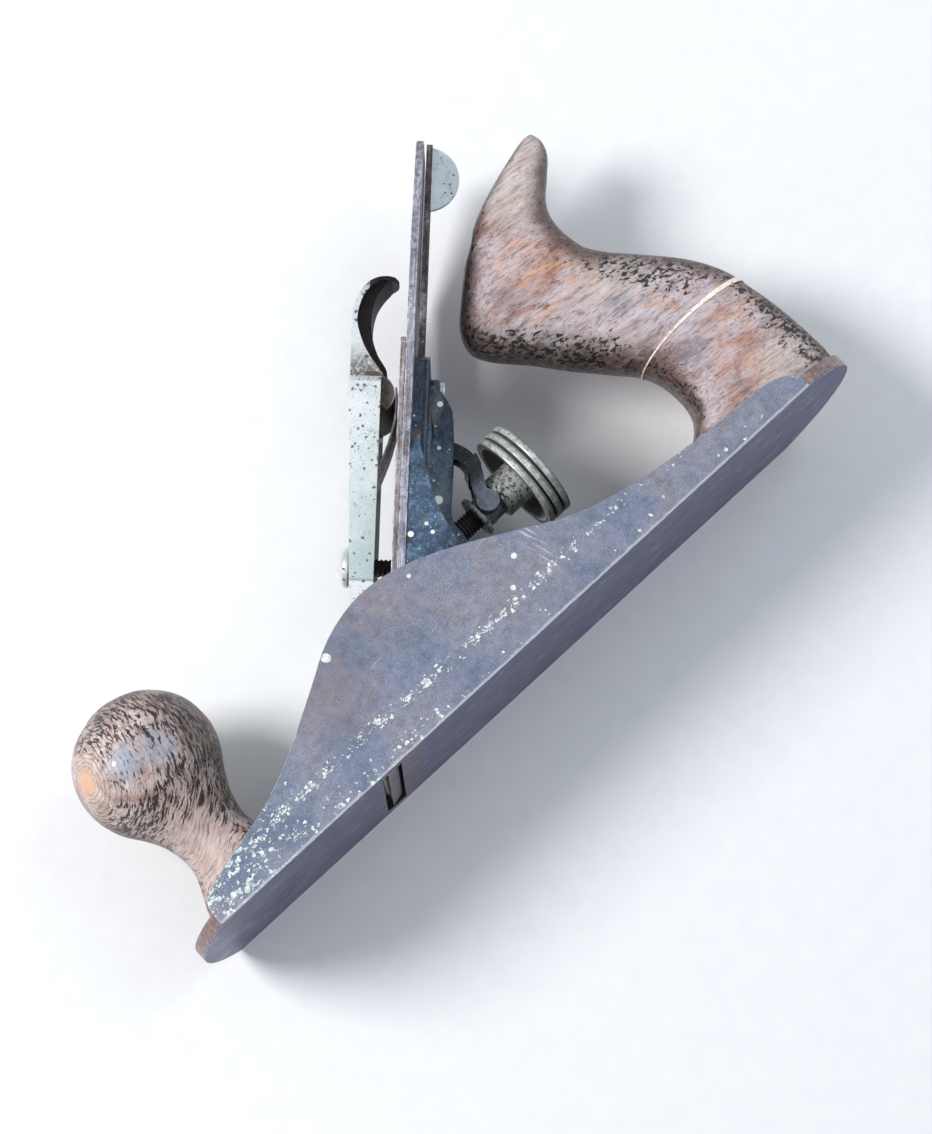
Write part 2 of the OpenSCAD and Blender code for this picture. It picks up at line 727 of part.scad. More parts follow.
module cam_lever() {
    color(nickel) on_bed() difference() {
        union() {
            intersection() {
                union() {
                    slab(23.4) polygon(concat(hook_front, hook_back, [[110, 9]]));
                    slab(13) polygon(concat(hook_front, rib_back, [[110, 9]]));
                }
                union() {
                    translate([100, -12, 0]) cube([38.5, 24, 30]);
                    lever_tip();
                }
            }
            cross_bar(cam_u, cam_v, 6.1, 23.4);
            cross_bar(cam_u, cam_v - 1.1, 6, 23.4);
        }
        cross_bar(cam_u, cam_v, 1.76, 40);
    }
}

module cam_pin() {
    color(steel) on_bed() cross_bar(cam_u, cam_v, 1.7, 29);
}

// ---- drawing ----

body_casting();
front_knob();
knob_bolt();
knob_nut();
tote_upper();
tote_lower();
tote_glue_line();
tote_rod();
tote_nut();
frog();
frog_screws();
frog_washers();
frog_clip();
frog_clip_screw();
frog_adjusting_screw();
adjusting_stud();
adjusting_bush();
adjusting_wheel();
yoke();
yoke_pin();
lateral_lever();
lateral_rivet();
lateral_roller();
plane_iron();
cap_iron();
cap_iron_screw();
lever_cap();
lever_cap_screw();
lever_cap_spring();
spring_rivet();
cam_lever();
cam_pin();
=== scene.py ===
import json
import math

import bmesh
import bpy
from mathutils import Matrix, Vector, noise


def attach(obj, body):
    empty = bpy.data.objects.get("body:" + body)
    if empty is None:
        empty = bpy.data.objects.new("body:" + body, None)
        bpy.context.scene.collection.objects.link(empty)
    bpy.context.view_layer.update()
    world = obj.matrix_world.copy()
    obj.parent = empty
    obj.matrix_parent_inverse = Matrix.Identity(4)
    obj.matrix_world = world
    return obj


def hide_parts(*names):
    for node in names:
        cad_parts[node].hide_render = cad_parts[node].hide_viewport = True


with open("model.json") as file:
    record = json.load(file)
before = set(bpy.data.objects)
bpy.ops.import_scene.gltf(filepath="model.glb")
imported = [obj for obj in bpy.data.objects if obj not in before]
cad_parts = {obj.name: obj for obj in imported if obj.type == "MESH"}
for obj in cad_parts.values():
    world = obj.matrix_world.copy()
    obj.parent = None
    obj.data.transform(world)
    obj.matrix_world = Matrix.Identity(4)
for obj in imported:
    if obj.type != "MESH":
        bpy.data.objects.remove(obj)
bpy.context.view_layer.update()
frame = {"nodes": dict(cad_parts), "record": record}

MM = 0.001
ROOT2 = math.sqrt(2)
# Places in mm
BED_X = 51.8  # where the bed meets the sole
KNOB_X = 99.4  # the knob's axis
STUD_Z = 41.5  # the depth wheel's axis
SCREW_U = 61.7  # the lever cap's screw, up the bed
CAM_PIN = (-17.14, 0, 86.62)  # the thumb lever's pin
CHEEK_OUT, CHEEK_IN, SOLE_TOP = 31, 28, 4.2
FLOOR_Y = -0.0312  # in metres, just under the right cheek
GRAIN_TURN = (0, -7, 0)  # the handle's grain, in degrees

BODY_OF = {n: b for b, nodes in frame["record"]["behaviour"]["bodies"].items() for n in nodes}
SLOT_OF = {s["node"]: s["material_slot"] for s in frame["record"]["subparts"]}

# Bed frame in mm: u up along the bed, y across, v out of the bed
BED = Matrix(((-1 / ROOT2, 0, 1 / ROOT2, BED_X), (0, 1, 0, 0), (1 / ROOT2, 0, 1 / ROOT2, 0), (0, 0, 0, 1)))


# ---- materials

class Mat:
    """A procedural material. Coordinates are the object's own, in mm."""

    def __init__(self, name, metallic=0.0, roughness=0.5, specular=0.5, coat=0.0):
        self.m = bpy.data.materials.new(name)
        self.m.use_nodes = True
        self.t = self.m.node_tree
        self.bsdf = self.t.nodes["Principled BSDF"]
        for key, value in (("Metallic", metallic), ("Roughness", roughness), ("Specular IOR Level", specular),
                           ("Coat Weight", coat), ("Coat Roughness", 0.25)):
            self.bsdf.inputs[key].default_value = value
        per_metre = 1 / MM
        self.p = self.vec("MULTIPLY", self.node("TexCoord").outputs["Object"], (per_metre,) * 3)

    def put(self, socket, value):
        if isinstance(value, (int, float)):
            socket.default_value = value
        elif isinstance(value, (tuple, list, Vector)):
            need = len(socket.default_value)
            socket.default_value = tuple(value) + (1,) * (need - len(value))
        else:
            self.t.links.new(value, socket)

    def node(self, kind, **inputs):
        """A new node with these inputs. An underscore stands for a space in an input's name."""
        n = self.t.nodes.new("ShaderNode" + kind)
        for key, value in inputs.items():
            self.put(n.inputs[key.replace("_", " ")], value)
        return n

    def op(self, kind, operation, *values):
        n = self.node(kind)
        n.operation = operation
        for socket, value in zip(n.inputs, values):
            self.put(socket, value)
        return n

    def vec(self, op, *values):
        n = self.op("VectorMath", op, *values)
        return n.outputs["Value" if op in ("DOT_PRODUCT", "LENGTH", "DISTANCE") else "Vector"]

    def math(self, op, *values, clamp=False):
        n = self.op("Math", op, *values)
        n.use_clamp = clamp
        return n.outputs[0]

    def mul(self, a, b):
        return self.math("MULTIPLY", a, b)

    def add(self, a, b):
        return self.math("ADD", a, b)

    def sub(self, a, b):
        return self.math("SUBTRACT", a, b)

    def mad(self, a, b, c):
        """a * b + c"""
        return self.math("MULTIPLY_ADD", a, b, c)

    def abs(self, a):
        return self.math("ABSOLUTE", a)

    def along(self, direction):
        """The coordinate along a direction, in mm."""
        return self.vec("DOT_PRODUCT", self.p, direction)

    def from_axis(self, point, across):
        """The distance from an axis through the point. `across` is 0 along the axis and 1 across it."""
        return self.vec("LENGTH", self.vec("MULTIPLY", self.vec("SUBTRACT", self.p, point), across))

    def stretch(self, sx, sy, sz, turn=(0, 0, 0)):
        """Coordinates along turned axes, each scaled by its own factor."""
        n = self.node("Mapping", Vector=self.p, Rotation=[math.radians(a) for a in turn],
                      Scale=(1 / sx, 1 / sy, 1 / sz))
        n.vector_type = "TEXTURE"
        return n.outputs[0]

    def warped(self, scale, amount):
        """Coordinates pushed about by a noise, so that round shapes come out ragged."""
        push = self.vec("SUBTRACT", self.noise(scale, 3, 0.6, color=True), (0.5, 0.5, 0.5))
        return self.vec("ADD", self.p, self.vec("MULTIPLY", push, (amount, amount, amount)))

    def noise(self, scale, detail=5, rough=0.6, distort=0, at=None, color=False):
        """Clouds of about 1 / scale mm."""
        n = self.node("TexNoise", Vector=at or self.p, Scale=scale, Detail=detail, Roughness=rough,
                      Distortion=distort)
        return n.outputs["Color" if color else "Fac"]

    def clouds(self, low, high, *settings, **more):
        """A mask of the places where a noise comes above low, in full from high on."""
        return self.step(self.noise(*settings, **more), low, high)

    def cells(self, scale, out, at):
        """Voronoi cells of about 1 / scale mm."""
        return self.node("TexVoronoi", Vector=at or self.p, Scale=scale).outputs[out]

    def ramp(self, fac, *stops):
        """Colours or values at stops between 0 and 1."""
        n = self.node("ValToRGB", Fac=fac)
        e = n.color_ramp.elements
        while len(e) < len(stops):
            e.new(0.5)
        for i, (pos, col) in enumerate(stops):
            e[i].position = pos
            e[i].color = (col, col, col, 1) if isinstance(col, (int, float)) else tuple(col) + (1,)
        return n.outputs[0]

    def between(self, fac, a, b):
        """From a, where the noise is low, to b, where it is high."""
        return self.ramp(fac, (0.3, a), (0.7, b))

    def step(self, value, low, high):
        """0 below low, 1 above high, smooth between; falls instead if low is above high."""
        start, end = (1, 0) if low > high else (0, 1)
        n = self.node("MapRange", Value=value, From_Min=min(low, high), From_Max=max(low, high),
                      To_Min=start, To_Max=end)
        n.interpolation_type = "SMOOTHSTEP"
        return n.outputs[0]

    def mix(self, fac, a, b, mode="MIX"):
        """a where the factor is 0, b where it is 1. Sockets 6 and 7 are the colours."""
        n = self.node("Mix")
        n.data_type = "RGBA"
        n.blend_type = mode
        self.put(n.inputs[0], fac)
        self.put(n.inputs[6], a)
        self.put(n.inputs[7], b)
        return n.outputs[2]

    def lay(self, color, mask, amount=1.0):
        """Lays a colour over the colour so far, in that amount, where the mask is."""
        self.color = self.mix(self.mul(mask, amount), self.color, color)

    def shade(self, fac, *stops):
        """Lightens or darkens the colour so far by a ramp."""
        self.color = self.mix(1, self.color, self.ramp(fac, *stops), "MULTIPLY")

    def every(self, *values):
        """The product of masks."""
        out = values[0]
        for v in values[1:]:
            out = self.math("MULTIPLY", out, v, clamp=True)
        return out

    def most(self, *values):
        """The largest of masks."""
        out = values[0]
        for v in values[1:]:
            out = self.math("MAXIMUM", out, v)
        return out

    def done(self, roughness, height, depth, strength, metallic=None):
        """Connects the looks. The height's bump is `depth` mm deep."""
        bump = self.node("Bump", Height=height, Distance=depth * MM, Strength=strength)
        self.put(self.bsdf.inputs["Base Color"], self.color)
        self.put(self.bsdf.inputs["Roughness"], roughness)
        if metallic is not None:
            self.put(self.bsdf.inputs["Metallic"], metallic)
        self.put(self.bsdf.inputs["Normal"], bump.outputs[0])
        return self.m

    def dots(self, cell, size, share, at=None):
        """A mask of round drops of about `size` mm, in that share of cells of `cell` mm."""
        s = 1.0 / cell
        near = self.cells(s, "Distance", at)
        pick = self.node("SeparateColor", Color=self.cells(s, "Color", at))
        chosen = self.step(self.add(pick.outputs[0], share), 1, 1.02)
        reach = self.mad(pick.outputs[1], size * s * 0.6, size * s * 0.4)
        return self.every(self.step(self.sub(reach, near), 0, 0.03), chosen)

    def spot(self, centre, radius, fade=0.3, wobble=0, scale=0.12):
        """A soft patch around a point, with an uneven edge."""
        d = self.vec("DISTANCE", self.p, centre)
        if wobble:
            d = self.add(d, self.mad(self.noise(scale, 5, 0.62), 2 * wobble, -wobble))
        return self.step(d, radius, radius * (1 - fade))

    def spots(self, *rows):
        """The largest of soft patches, each (strength, centre, radius, fade, wobble, scale)."""
        return self.most(*[self.mul(self.spot(*row[1:]), row[0]) for row in rows])

    def band(self, value, centre, half, fade):
        """1 within half of the centre, falling to 0 over the fade."""
        off = self.abs(self.sub(value, centre))
        return self.step(off, half + fade, half)


CREAM = (0.74, 0.79, 0.72)
X, Y, Z = (1, 0, 0), (0, 1, 0), (0, 0, 1)
U = (-1 / ROOT2, 0, 1 / ROOT2)
V = (1 / ROOT2, 0, 1 / ROOT2)
U0 = BED_X / ROOT2


def casting_ground():
    """Worn, patinated cast iron with pale specks in lines along the sole."""
    m = Mat("casting_ground", 0.2, 0.5)
    x, z = m.along(X), m.along(Z)
    cloud = m.noise(0.05, 5, 0.6, 0.6)
    m.color = m.ramp(cloud, (0.3, (0.125, 0.158, 0.23)), (0.45, (0.18, 0.202, 0.276)),
                     (0.58, (0.222, 0.225, 0.28)), (0.74, (0.206, 0.188, 0.215)))
    m.shade(m.noise(0.33, 6, 0.72), (0.3, 0.7), (0.5, 0.99), (0.7, 1.2))
    grit = m.noise(2.2, 4, 0.75)
    m.shade(grit, (0.28, 0.42), (0.45, 0.95), (0.56, 1.05), (0.74, 1.75))
    m.lay((0.06, 0.06, 0.075), m.clouds(0.625, 0.675, 1.1, 4, 0.68, 0.3), 0.55)
    # Brown bloom in front of the iron, along the top of the cheek, and in faint clouds
    bloom = m.most(m.mul(m.spot((53, 31, 26), 19, 0.8, 4), 0.75),
                   m.mul(m.spot((28, 31, 40), 22, 0.8, 4), 0.5),
                   m.mul(m.clouds(0.55, 0.75, 0.08, 5, 0.65), 0.4))
    bloom = m.every(bloom, m.clouds(0.34, 0.6, 0.42, 6, 0.68))
    m.lay((0.23, 0.15, 0.125), bloom, 0.75)
    # Specks: a line 11 mm above the sole, a band along its edge, and a dense patch at the toe
    wavy = m.add(z, m.mad(m.noise(0.03, 3, 0.5), 4, -2))
    line = m.mul(m.band(wavy, 11.4, 0.5, 2.2), m.mad(m.step(x, -60, 0), 0.5, 0.5))
    low = m.mul(m.step(z, 8, 2.5), m.mad(m.step(x, -10, 60), 0.56, 0.12))
    toe = m.step(x, 58, 104)
    density = m.most(line, low, toe)
    clump = m.clouds(0.26, 0.56, 0.25, 4, 0.62, at=m.stretch(0.55, 1, 1))
    amount = m.every(density, clump)
    rag = m.warped(1.1, 1.6)
    flake = m.noise(0.95, 5, 0.66, 0.4, at=m.stretch(0.6, 1, 1))
    speck = m.step(m.sub(flake, m.mad(amount, -0.195, 0.73)), 0, 0.025)
    small = m.dots(1.1, 0.5, m.mul(amount, 0.5), at=rag)
    mid = m.dots(2, 0.85, m.mul(amount, 0.42), at=rag)
    stray = m.dots(4.8, 0.5, 0.1)
    # Bright worn arris at the foot of each cheek
    ragged = m.mad(m.noise(0.8, 4, 0.6, at=m.stretch(0.3, 1, 1)), 1.3, -0.2)
    arris = m.mul(m.step(m.sub(z, ragged), 0.55, 0.05), 0.7)
    # Fine scratches slanting down behind the frog, and faint ones along the casting
    fine = m.noise(2.4, 2, 0.5, at=m.stretch(1, 1, 0.045, (0, 17, 0)))
    scratch = m.every(m.step(fine, 0.6, 0.66), m.band(x, -18.5, 1.5, 3), m.step(z, 9, 14))
    hair = m.mul(m.clouds(0.68, 0.74, 2.2, 2, 0.5, at=m.stretch(0.05, 1, 1, (0, 9, 0))), 0.35)
    drops = m.spots((1, (-10.8, 31, 20.5), 1), (1, (-4.5, 31, 14.1), 0.9),
                    (1, (45.8, 31, 34.4), 1.5, 0.3, 0.4, 0.9), (1, (14, 31, 36), 0.7))
    pale = m.most(speck, small, mid, stray, drops)
    m.lay((0.46, 0.47, 0.52), m.most(arris, m.mul(scratch, 0.85), hair))
    drop = m.ramp(m.noise(0.8, 4, 0.6), (0.35, (0.5, 0.62, 0.58)), (0.6, (0.78, 0.84, 0.76)))
    m.lay(drop, m.mul(pale, m.ramp(m.noise(1.4, 3, 0.55), (0.35, 0.55), (0.55, 0.97))))
    rough = m.add(m.between(m.noise(0.7), 0.4, 0.6), m.mul(pale, 0.15))
    height = m.add(m.mul(grit, 0.5), m.mul(m.noise(0.9), 0.7))
    height = m.add(height, m.mul(pale, 0.6))
    return m.done(rough, height, 0.1, 0.8, m.mad(pale, -0.2, 0.2))


def casting_sole():
    """Sole: dark violet-brown steel, scratched along its length, rusty around the mouth."""
    m = Mat("casting_sole", 0.5, 0.4)
    x, z = m.along(X), m.along(Z)
    cloud = m.noise(0.05)
    m.color = m.ramp(cloud, (0.3, (0.07, 0.082, 0.165)), (0.5, (0.098, 0.102, 0.185)),
                     (0.72, (0.125, 0.1, 0.15)))
    streak = m.noise(1.4, 5, 0.65, at=m.stretch(0.035, 1, 1))
    m.shade(streak, (0.3, 0.5), (0.5, 1), (0.7, 1.7))
    patch = m.clouds(0.46, 0.62, 0.1, 3, 0.55)
    bright = m.every(m.clouds(0.55, 0.63, 2, 4, 0.6, at=m.stretch(0.09, 1, 1)), patch)
    m.lay((0.5, 0.46, 0.6), bright, 0.8)
    rust = m.every(m.band(x, 50, 3, 7), m.clouds(0.4, 0.58, 0.4, 5, 0.65))
    m.lay((0.23, 0.13, 0.1), rust, 0.7)
    m.lay(CREAM, m.dots(7, 0.6, 0.2))
    # The toe's and heel's end faces are brown
    end = m.every(m.step(m.abs(x), 100, 104), m.step(z, 0.15, 0.5))
    m.lay(m.ramp(m.noise(0.6, 5, 0.65), (0.3, (0.15, 0.085, 0.07)), (0.55, (0.29, 0.195, 0.175)),
                 (0.75, (0.44, 0.37, 0.37))), end, 0.9)
    rough = m.between(streak, 0.5, 0.34)
    return m.done(rough, m.add(streak, m.noise(3, 3, 0.55)), 0.04, 0.8)


def japanned():
    """Black-blue japanning inside the casting, chipped to brown iron."""
    m = Mat("casting_inside", 0, 0.45)
    cloud = m.noise(0.07)
    m.color = m.between(cloud, (0.016, 0.019, 0.025), (0.038, 0.044, 0.055))
    chip = m.clouds(0.57, 0.6, 0.3, 7, 0.68)
    m.lay(m.between(m.noise(0.9), (0.085, 0.055, 0.042), (0.2, 0.15, 0.13)), chip, 0.9)
    dust = m.clouds(0.55, 0.75, 1.2, 6, 0.7)
    m.lay((0.28, 0.23, 0.19), dust, 0.25)
    m.lay(CREAM, m.dots(6, 0.8, 0.18))
    rough = m.mad(chip, 0.3, 0.38)
    return m.done(rough, m.add(m.noise(0.8), m.mul(chip, -0.5)), 0.22, 0.9)


def frog_paint():
    """Dark blue-green paint on a rough casting: glossy black patches, chalky scuffs and cream drops."""
    m = Mat("frog_paint", 0, 0.4)
    y = m.along(Y)
    u = m.add(m.along(U), U0)
    cloud = m.noise(0.13, 5, 0.64, 0.5)
    m.color = m.ramp(cloud, (0.3, (0.008, 0.015, 0.028)), (0.45, (0.02, 0.044, 0.082)),
                     (0.58, (0.036, 0.074, 0.13)), (0.74, (0.06, 0.104, 0.165)))
    grain = m.noise(1.7, 5, 0.74)
    m.shade(grain, (0.3, 0.36), (0.5, 0.95), (0.72, 2.3))
    # The webs at the sides are chalkier than the bed plate and the spine
    web = m.every(m.step(m.abs(y), 20, 21), m.step(u, 97, 90))
    scuff = m.mul(m.clouds(0.5, 0.64, 0.42, 6, 0.7), m.mad(web, 0.3, 0.34))
    m.lay((0.13, 0.205, 0.29), scuff)
    top = m.mul(m.step(u, 92, 108), 0.6)
    m.lay((0.014, 0.017, 0.02), m.every(top, m.clouds(0.35, 0.55, 0.3, 4, 0.55)))
    dirt = m.most(m.every(m.clouds(0.58, 0.68, 0.22, 5, 0.65), 0.7),
                  m.mul(m.spot((-18, 22, 66), 5, 0.7, 2), 0.8))
    m.lay((0.12, 0.088, 0.075), dirt)
    fleck = m.clouds(0.69, 0.72, 1.7, 3, 0.55)
    placed = m.spots((1, (-30.1, 9, 71.3), 1), (1, (-10.4, 9, 50.9), 1.5, 0.3, 0.3, 0.8),
                     (1, (4.6, 25, 45.5), 1), (1, (-21, 9, 62), 0.7))
    drops = m.most(m.dots(4.2, 0.72, 0.16), m.dots(1.9, 0.42, 0.12), fleck, placed)
    m.lay(CREAM, drops)
    rough = m.add(m.between(grain, 0.26, 0.5), m.mul(web, 0.1))
    height = m.add(m.noise(0.9), m.mul(drops, 0.4))
    return m.done(rough, height, 0.22, 0.85)


def yoke_paint():
    """Black paint on the yoke, rubbed to bare grey iron on its tines."""
    m = Mat("yoke_paint", 0.15, 0.42)
    z = m.along(Z)
    cloud = m.noise(0.35, 5, 0.62)
    m.color = m.between(cloud, (0.004, 0.005, 0.008), (0.016, 0.02, 0.028))
    bare = m.step(m.add(z, m.mul(cloud, 6)), 52.5, 47)
    m.lay(m.between(m.noise(0.8, 5, 0.64), (0.085, 0.1, 0.125), (0.18, 0.205, 0.245)), bare)
    m.lay((0.32, 0.34, 0.36), m.clouds(0.62, 0.7, 1.6, 4, 0.6), 0.6)
    return m.done(m.between(cloud, 0.3, 0.5), m.noise(1.4), 0.12, 0.8)


def edge_wear(name, bright, dark, metallic=0.6, roughness=0.38):
    """Bare metal on a worn corner: mostly bright, with darker stretches."""
    m = Mat(name, metallic, roughness)
    patch = m.noise(0.35, 6, 0.66)
    m.color = m.mix(m.step(patch, 0.38, 0.58), dark, bright)
    m.shade(m.noise(2.4, 3, 0.6), (0.3, 0.78), (0.7, 1.15))
    return m.done(m.between(patch, 0.55, 0.32), m.noise(2, 4, 0.6), 0.06, 0.7)


def nickel_plate(name, base_a, base_b, kind="", metallic=0.5):
    """Dull nickel plate: pale, slightly green, with short dark pits and stains."""
    m = Mat(name, metallic, 0.34)
    u = m.add(m.along(U), U0)
    v = m.sub(m.along(V), U0)
    cloud = m.noise(0.1)
    m.color = m.mix(m.step(cloud, 0.35, 0.65), base_a, base_b)
    m.shade(m.noise(1.6, 4, 0.6), (0.3, 0.88), (0.7, 1.06))
    where = m.clouds(0.3, 0.6, 0.16, 4, 0.6)
    if kind == "cap":
        facet = m.step(u, 54.6, 54.2)
        where = m.mul(m.add(where, m.step(u, 70, 104)), 0.8)
        m.shade(m.step(u, 54, 100), (0, (0.8, 0.85, 0.84)), (1, (1.04, 1.03, 1.02)))
        m.lay((0.86, 0.9, 0.9), facet)
        m.lay((0.3, 0.33, 0.33), m.band(u, 54.6, 0.15, 0.5), 0.6)
    share = m.mad(where, {"cap": 0.34, "lever": 0.26, "tab": 0.24}.get(kind, 0.05), 0.05)
    rag = m.warped(1.3, 1.3)
    pit = m.most(m.dots(1.7, 0.62, share, at=rag), m.dots(0.95, 0.3, share, at=rag))
    stain = m.every(m.clouds(0.56, 0.72, 0.28, 5, 0.65), 0.45)
    m.lay((0.36, 0.32, 0.25), stain)
    if kind == "lever":
        # Brown bloom at the thumb lever's base and all over its cam
        near = m.step(m.add(u, m.mad(m.noise(0.35, 5, 0.65), 9, -4.5)), 126, 117)
        bloom = m.mul(near, m.mad(m.clouds(0.38, 0.56, 1.1, 5, 0.66), 0.65, 0.28))
        hub = m.from_axis(CAM_PIN, (1, 0, 1))
        cam = m.every(m.step(hub, 7.4, 6.6), m.step(v, 15.5, 14))
        tip = m.mul(m.step(m.add(u, m.mul(cloud, 3)), 140, 147), 0.75)
        bloom = m.most(bloom, cam, tip)
        m.lay(m.between(m.noise(0.8, 5, 0.62), (0.06, 0.048, 0.044), (0.19, 0.15, 0.125)), bloom)
    m.lay((0.06, 0.062, 0.058), pit, 0.9)
    r = m.add(m.between(cloud, 0.28, 0.42), m.mul(pit, 0.35))
    metal = m.mad(pit, -metallic, metallic)
    height = m.sub(m.mul(m.noise(1.3, 4, 0.6), 0.35), pit)
    return m.done(r, height, 0.09, 0.8, metal)


def rusty_steel(name, a, b, c, metallic=0.35, pits=0.62):
    """Old steel, grey to violet-brown, streaked along the blade and pitted brown-black."""
    m = Mat(name, metallic, 0.45)
    cloud = m.noise(0.11, 5, 0.66, 0.5)
    m.color = m.ramp(cloud, (0.3, a), (0.5, b), (0.7, c))
    run = m.noise(1.5, 5, 0.68, at=m.stretch(1, 1, 0.05, (0, -45, 0)))
    m.shade(run, (0.3, 0.22), (0.43, 0.72), (0.52, 1.05), (0.62, 1.5), (0.72, 2.1))
    fleck = m.clouds(0.57, 0.65, 1.5, 5, 0.7)
    m.lay((0.6, 0.61, 0.64), fleck, 0.6)
    rust = m.every(m.clouds(0.53, 0.64, 0.38, 6, 0.7), 0.75)
    rust = m.most(rust, m.mul(m.step(m.along(Z), 4, 2), 0.6))
    m.lay((0.115, 0.068, 0.052), rust)
    pit = m.clouds(pits, pits + 0.05, 1.9, 4, 0.64)
    m.lay((0.03, 0.024, 0.024), pit, 0.85)
    r = m.add(m.between(run, 0.55, 0.34), m.mul(rust, 0.25))
    height = m.sub(m.add(run, m.noise(2.6, 4, 0.6)), pit)
    return m.done(r, height, 0.09, 0.8, m.mad(m.most(rust, pit), -metallic, metallic))


def dark_steel(name="dark_steel", tone=1.0):
    """Brown-black steel of screws and pins. A lower tone is darker."""
    m = Mat(name, 0.55, 0.42)

    def tint(*rgb):
        return tuple(c * tone for c in rgb)

    cloud = m.noise(0.6, 5, 0.62)
    m.color = m.ramp(cloud, (0.3, tint(0.055, 0.048, 0.05)), (0.55, tint(0.115, 0.098, 0.098)),
                     (0.75, tint(0.2, 0.175, 0.17)))
    m.lay(tint(0.18, 0.095, 0.07), m.clouds(0.54, 0.66, 1.1, 5, 0.66), 0.6)
    return m.done(m.between(cloud, 0.52, 0.34), m.noise(2.4, 4, 0.6), 0.05, 0.7)


def brown_inside():
    """The thumb lever's hollow side and cam: smooth dark brown oxide."""
    m = Mat("lever_brown", 0, 0.5, 0.25)
    cloud = m.noise(0.35, 5, 0.62)
    m.color = m.ramp(cloud, (0.3, (0.022, 0.017, 0.016)), (0.6, (0.046, 0.036, 0.034)),
                     (0.78, (0.095, 0.073, 0.062)))
    m.lay((0.17, 0.14, 0.12), m.clouds(0.6, 0.74, 2.2, 4, 0.6), 0.5)
    return m.done(m.between(cloud, 0.44, 0.62), m.noise(2, 4, 0.6), 0.06, 0.7)


def wheel_plate():
    """Tarnished plate over brass: cream on the ridges, pitted hub, black-green in the grooves and the cup."""
    m = Mat("wheel_plate", 0.45, 0.38)
    radial = m.from_axis((0, 0, STUD_Z), (0, 1, 1))
    x = m.along(X)
    cloud = m.noise(0.3, 5, 0.64, 0.4)
    m.color = m.ramp(cloud, (0.3, (0.32, 0.335, 0.31)), (0.5, (0.59, 0.612, 0.58)),
                     (0.72, (0.77, 0.79, 0.765)))
    m.shade(m.noise(2.2, 4, 0.62), (0.3, 0.66), (0.5, 1), (0.7, 1.16))
    groove = m.every(m.step(radial, 15.35, 15.05), m.step(radial, 13.5, 13.8))
    cup = m.every(m.step(radial, 13.45, 13.2), m.step(radial, 6.5, 6.8), 0.72)
    hub = m.step(radial, 7, 6.6)
    pitted = m.every(m.clouds(0.53, 0.565, 0.75, 5, 0.66, 0.3, at=m.stretch(1.25, 1, 1)), hub)
    neck = m.every(m.step(radial, 5.6, 5), m.step(x, -40, -38), 0.6)
    grime = m.mul(m.clouds(0.5, 0.62, 0.5, 6, 0.72), 0.66)
    nick = m.clouds(0.67, 0.71, 2.1, 3, 0.6)
    behind = m.math("MODULO", m.sub(-30.8, x), 2.9)
    behind = m.add(behind, m.mad(m.noise(0.9, 5, 0.66), 1.6, -0.8))
    ridges = m.every(m.step(behind, 1.1, 1.65), m.step(radial, 14.9, 15.2), m.step(x, -54, -53), 0.8)
    soil = m.most(groove, cup, pitted, neck, grime, nick, ridges)
    m.lay(m.between(m.noise(0.5, 4, 0.55), (0.02, 0.023, 0.02), (0.06, 0.058, 0.045)), soil, 0.92)
    r = m.mad(soil, 0.25, 0.34)
    return m.done(r, m.sub(m.noise(2, 4, 0.6), m.most(pitted, nick)), 0.08, 0.7, m.mad(soil, -0.4, 0.45))


def brass():
    """Tarnished brass, brown-black in patches."""
    m = Mat("nut_brass", 0.75, 0.35)
    cloud = m.noise(0.45, 5, 0.64)
    m.color = m.ramp(cloud, (0.3, (0.2, 0.145, 0.065)), (0.5, (0.4, 0.3, 0.14)), (0.72, (0.56, 0.43, 0.22)))
    grime = m.mul(m.clouds(0.54, 0.64, 0.9, 6, 0.7), 0.8)
    m.lay((0.045, 0.035, 0.025), grime)
    return m.done(m.mad(grime, 0.3, 0.3), m.noise(2, 4, 0.6), 0.06, 0.7, m.mad(grime, -0.6, 0.75))


BARK = (0.007, 0.006, 0.006)


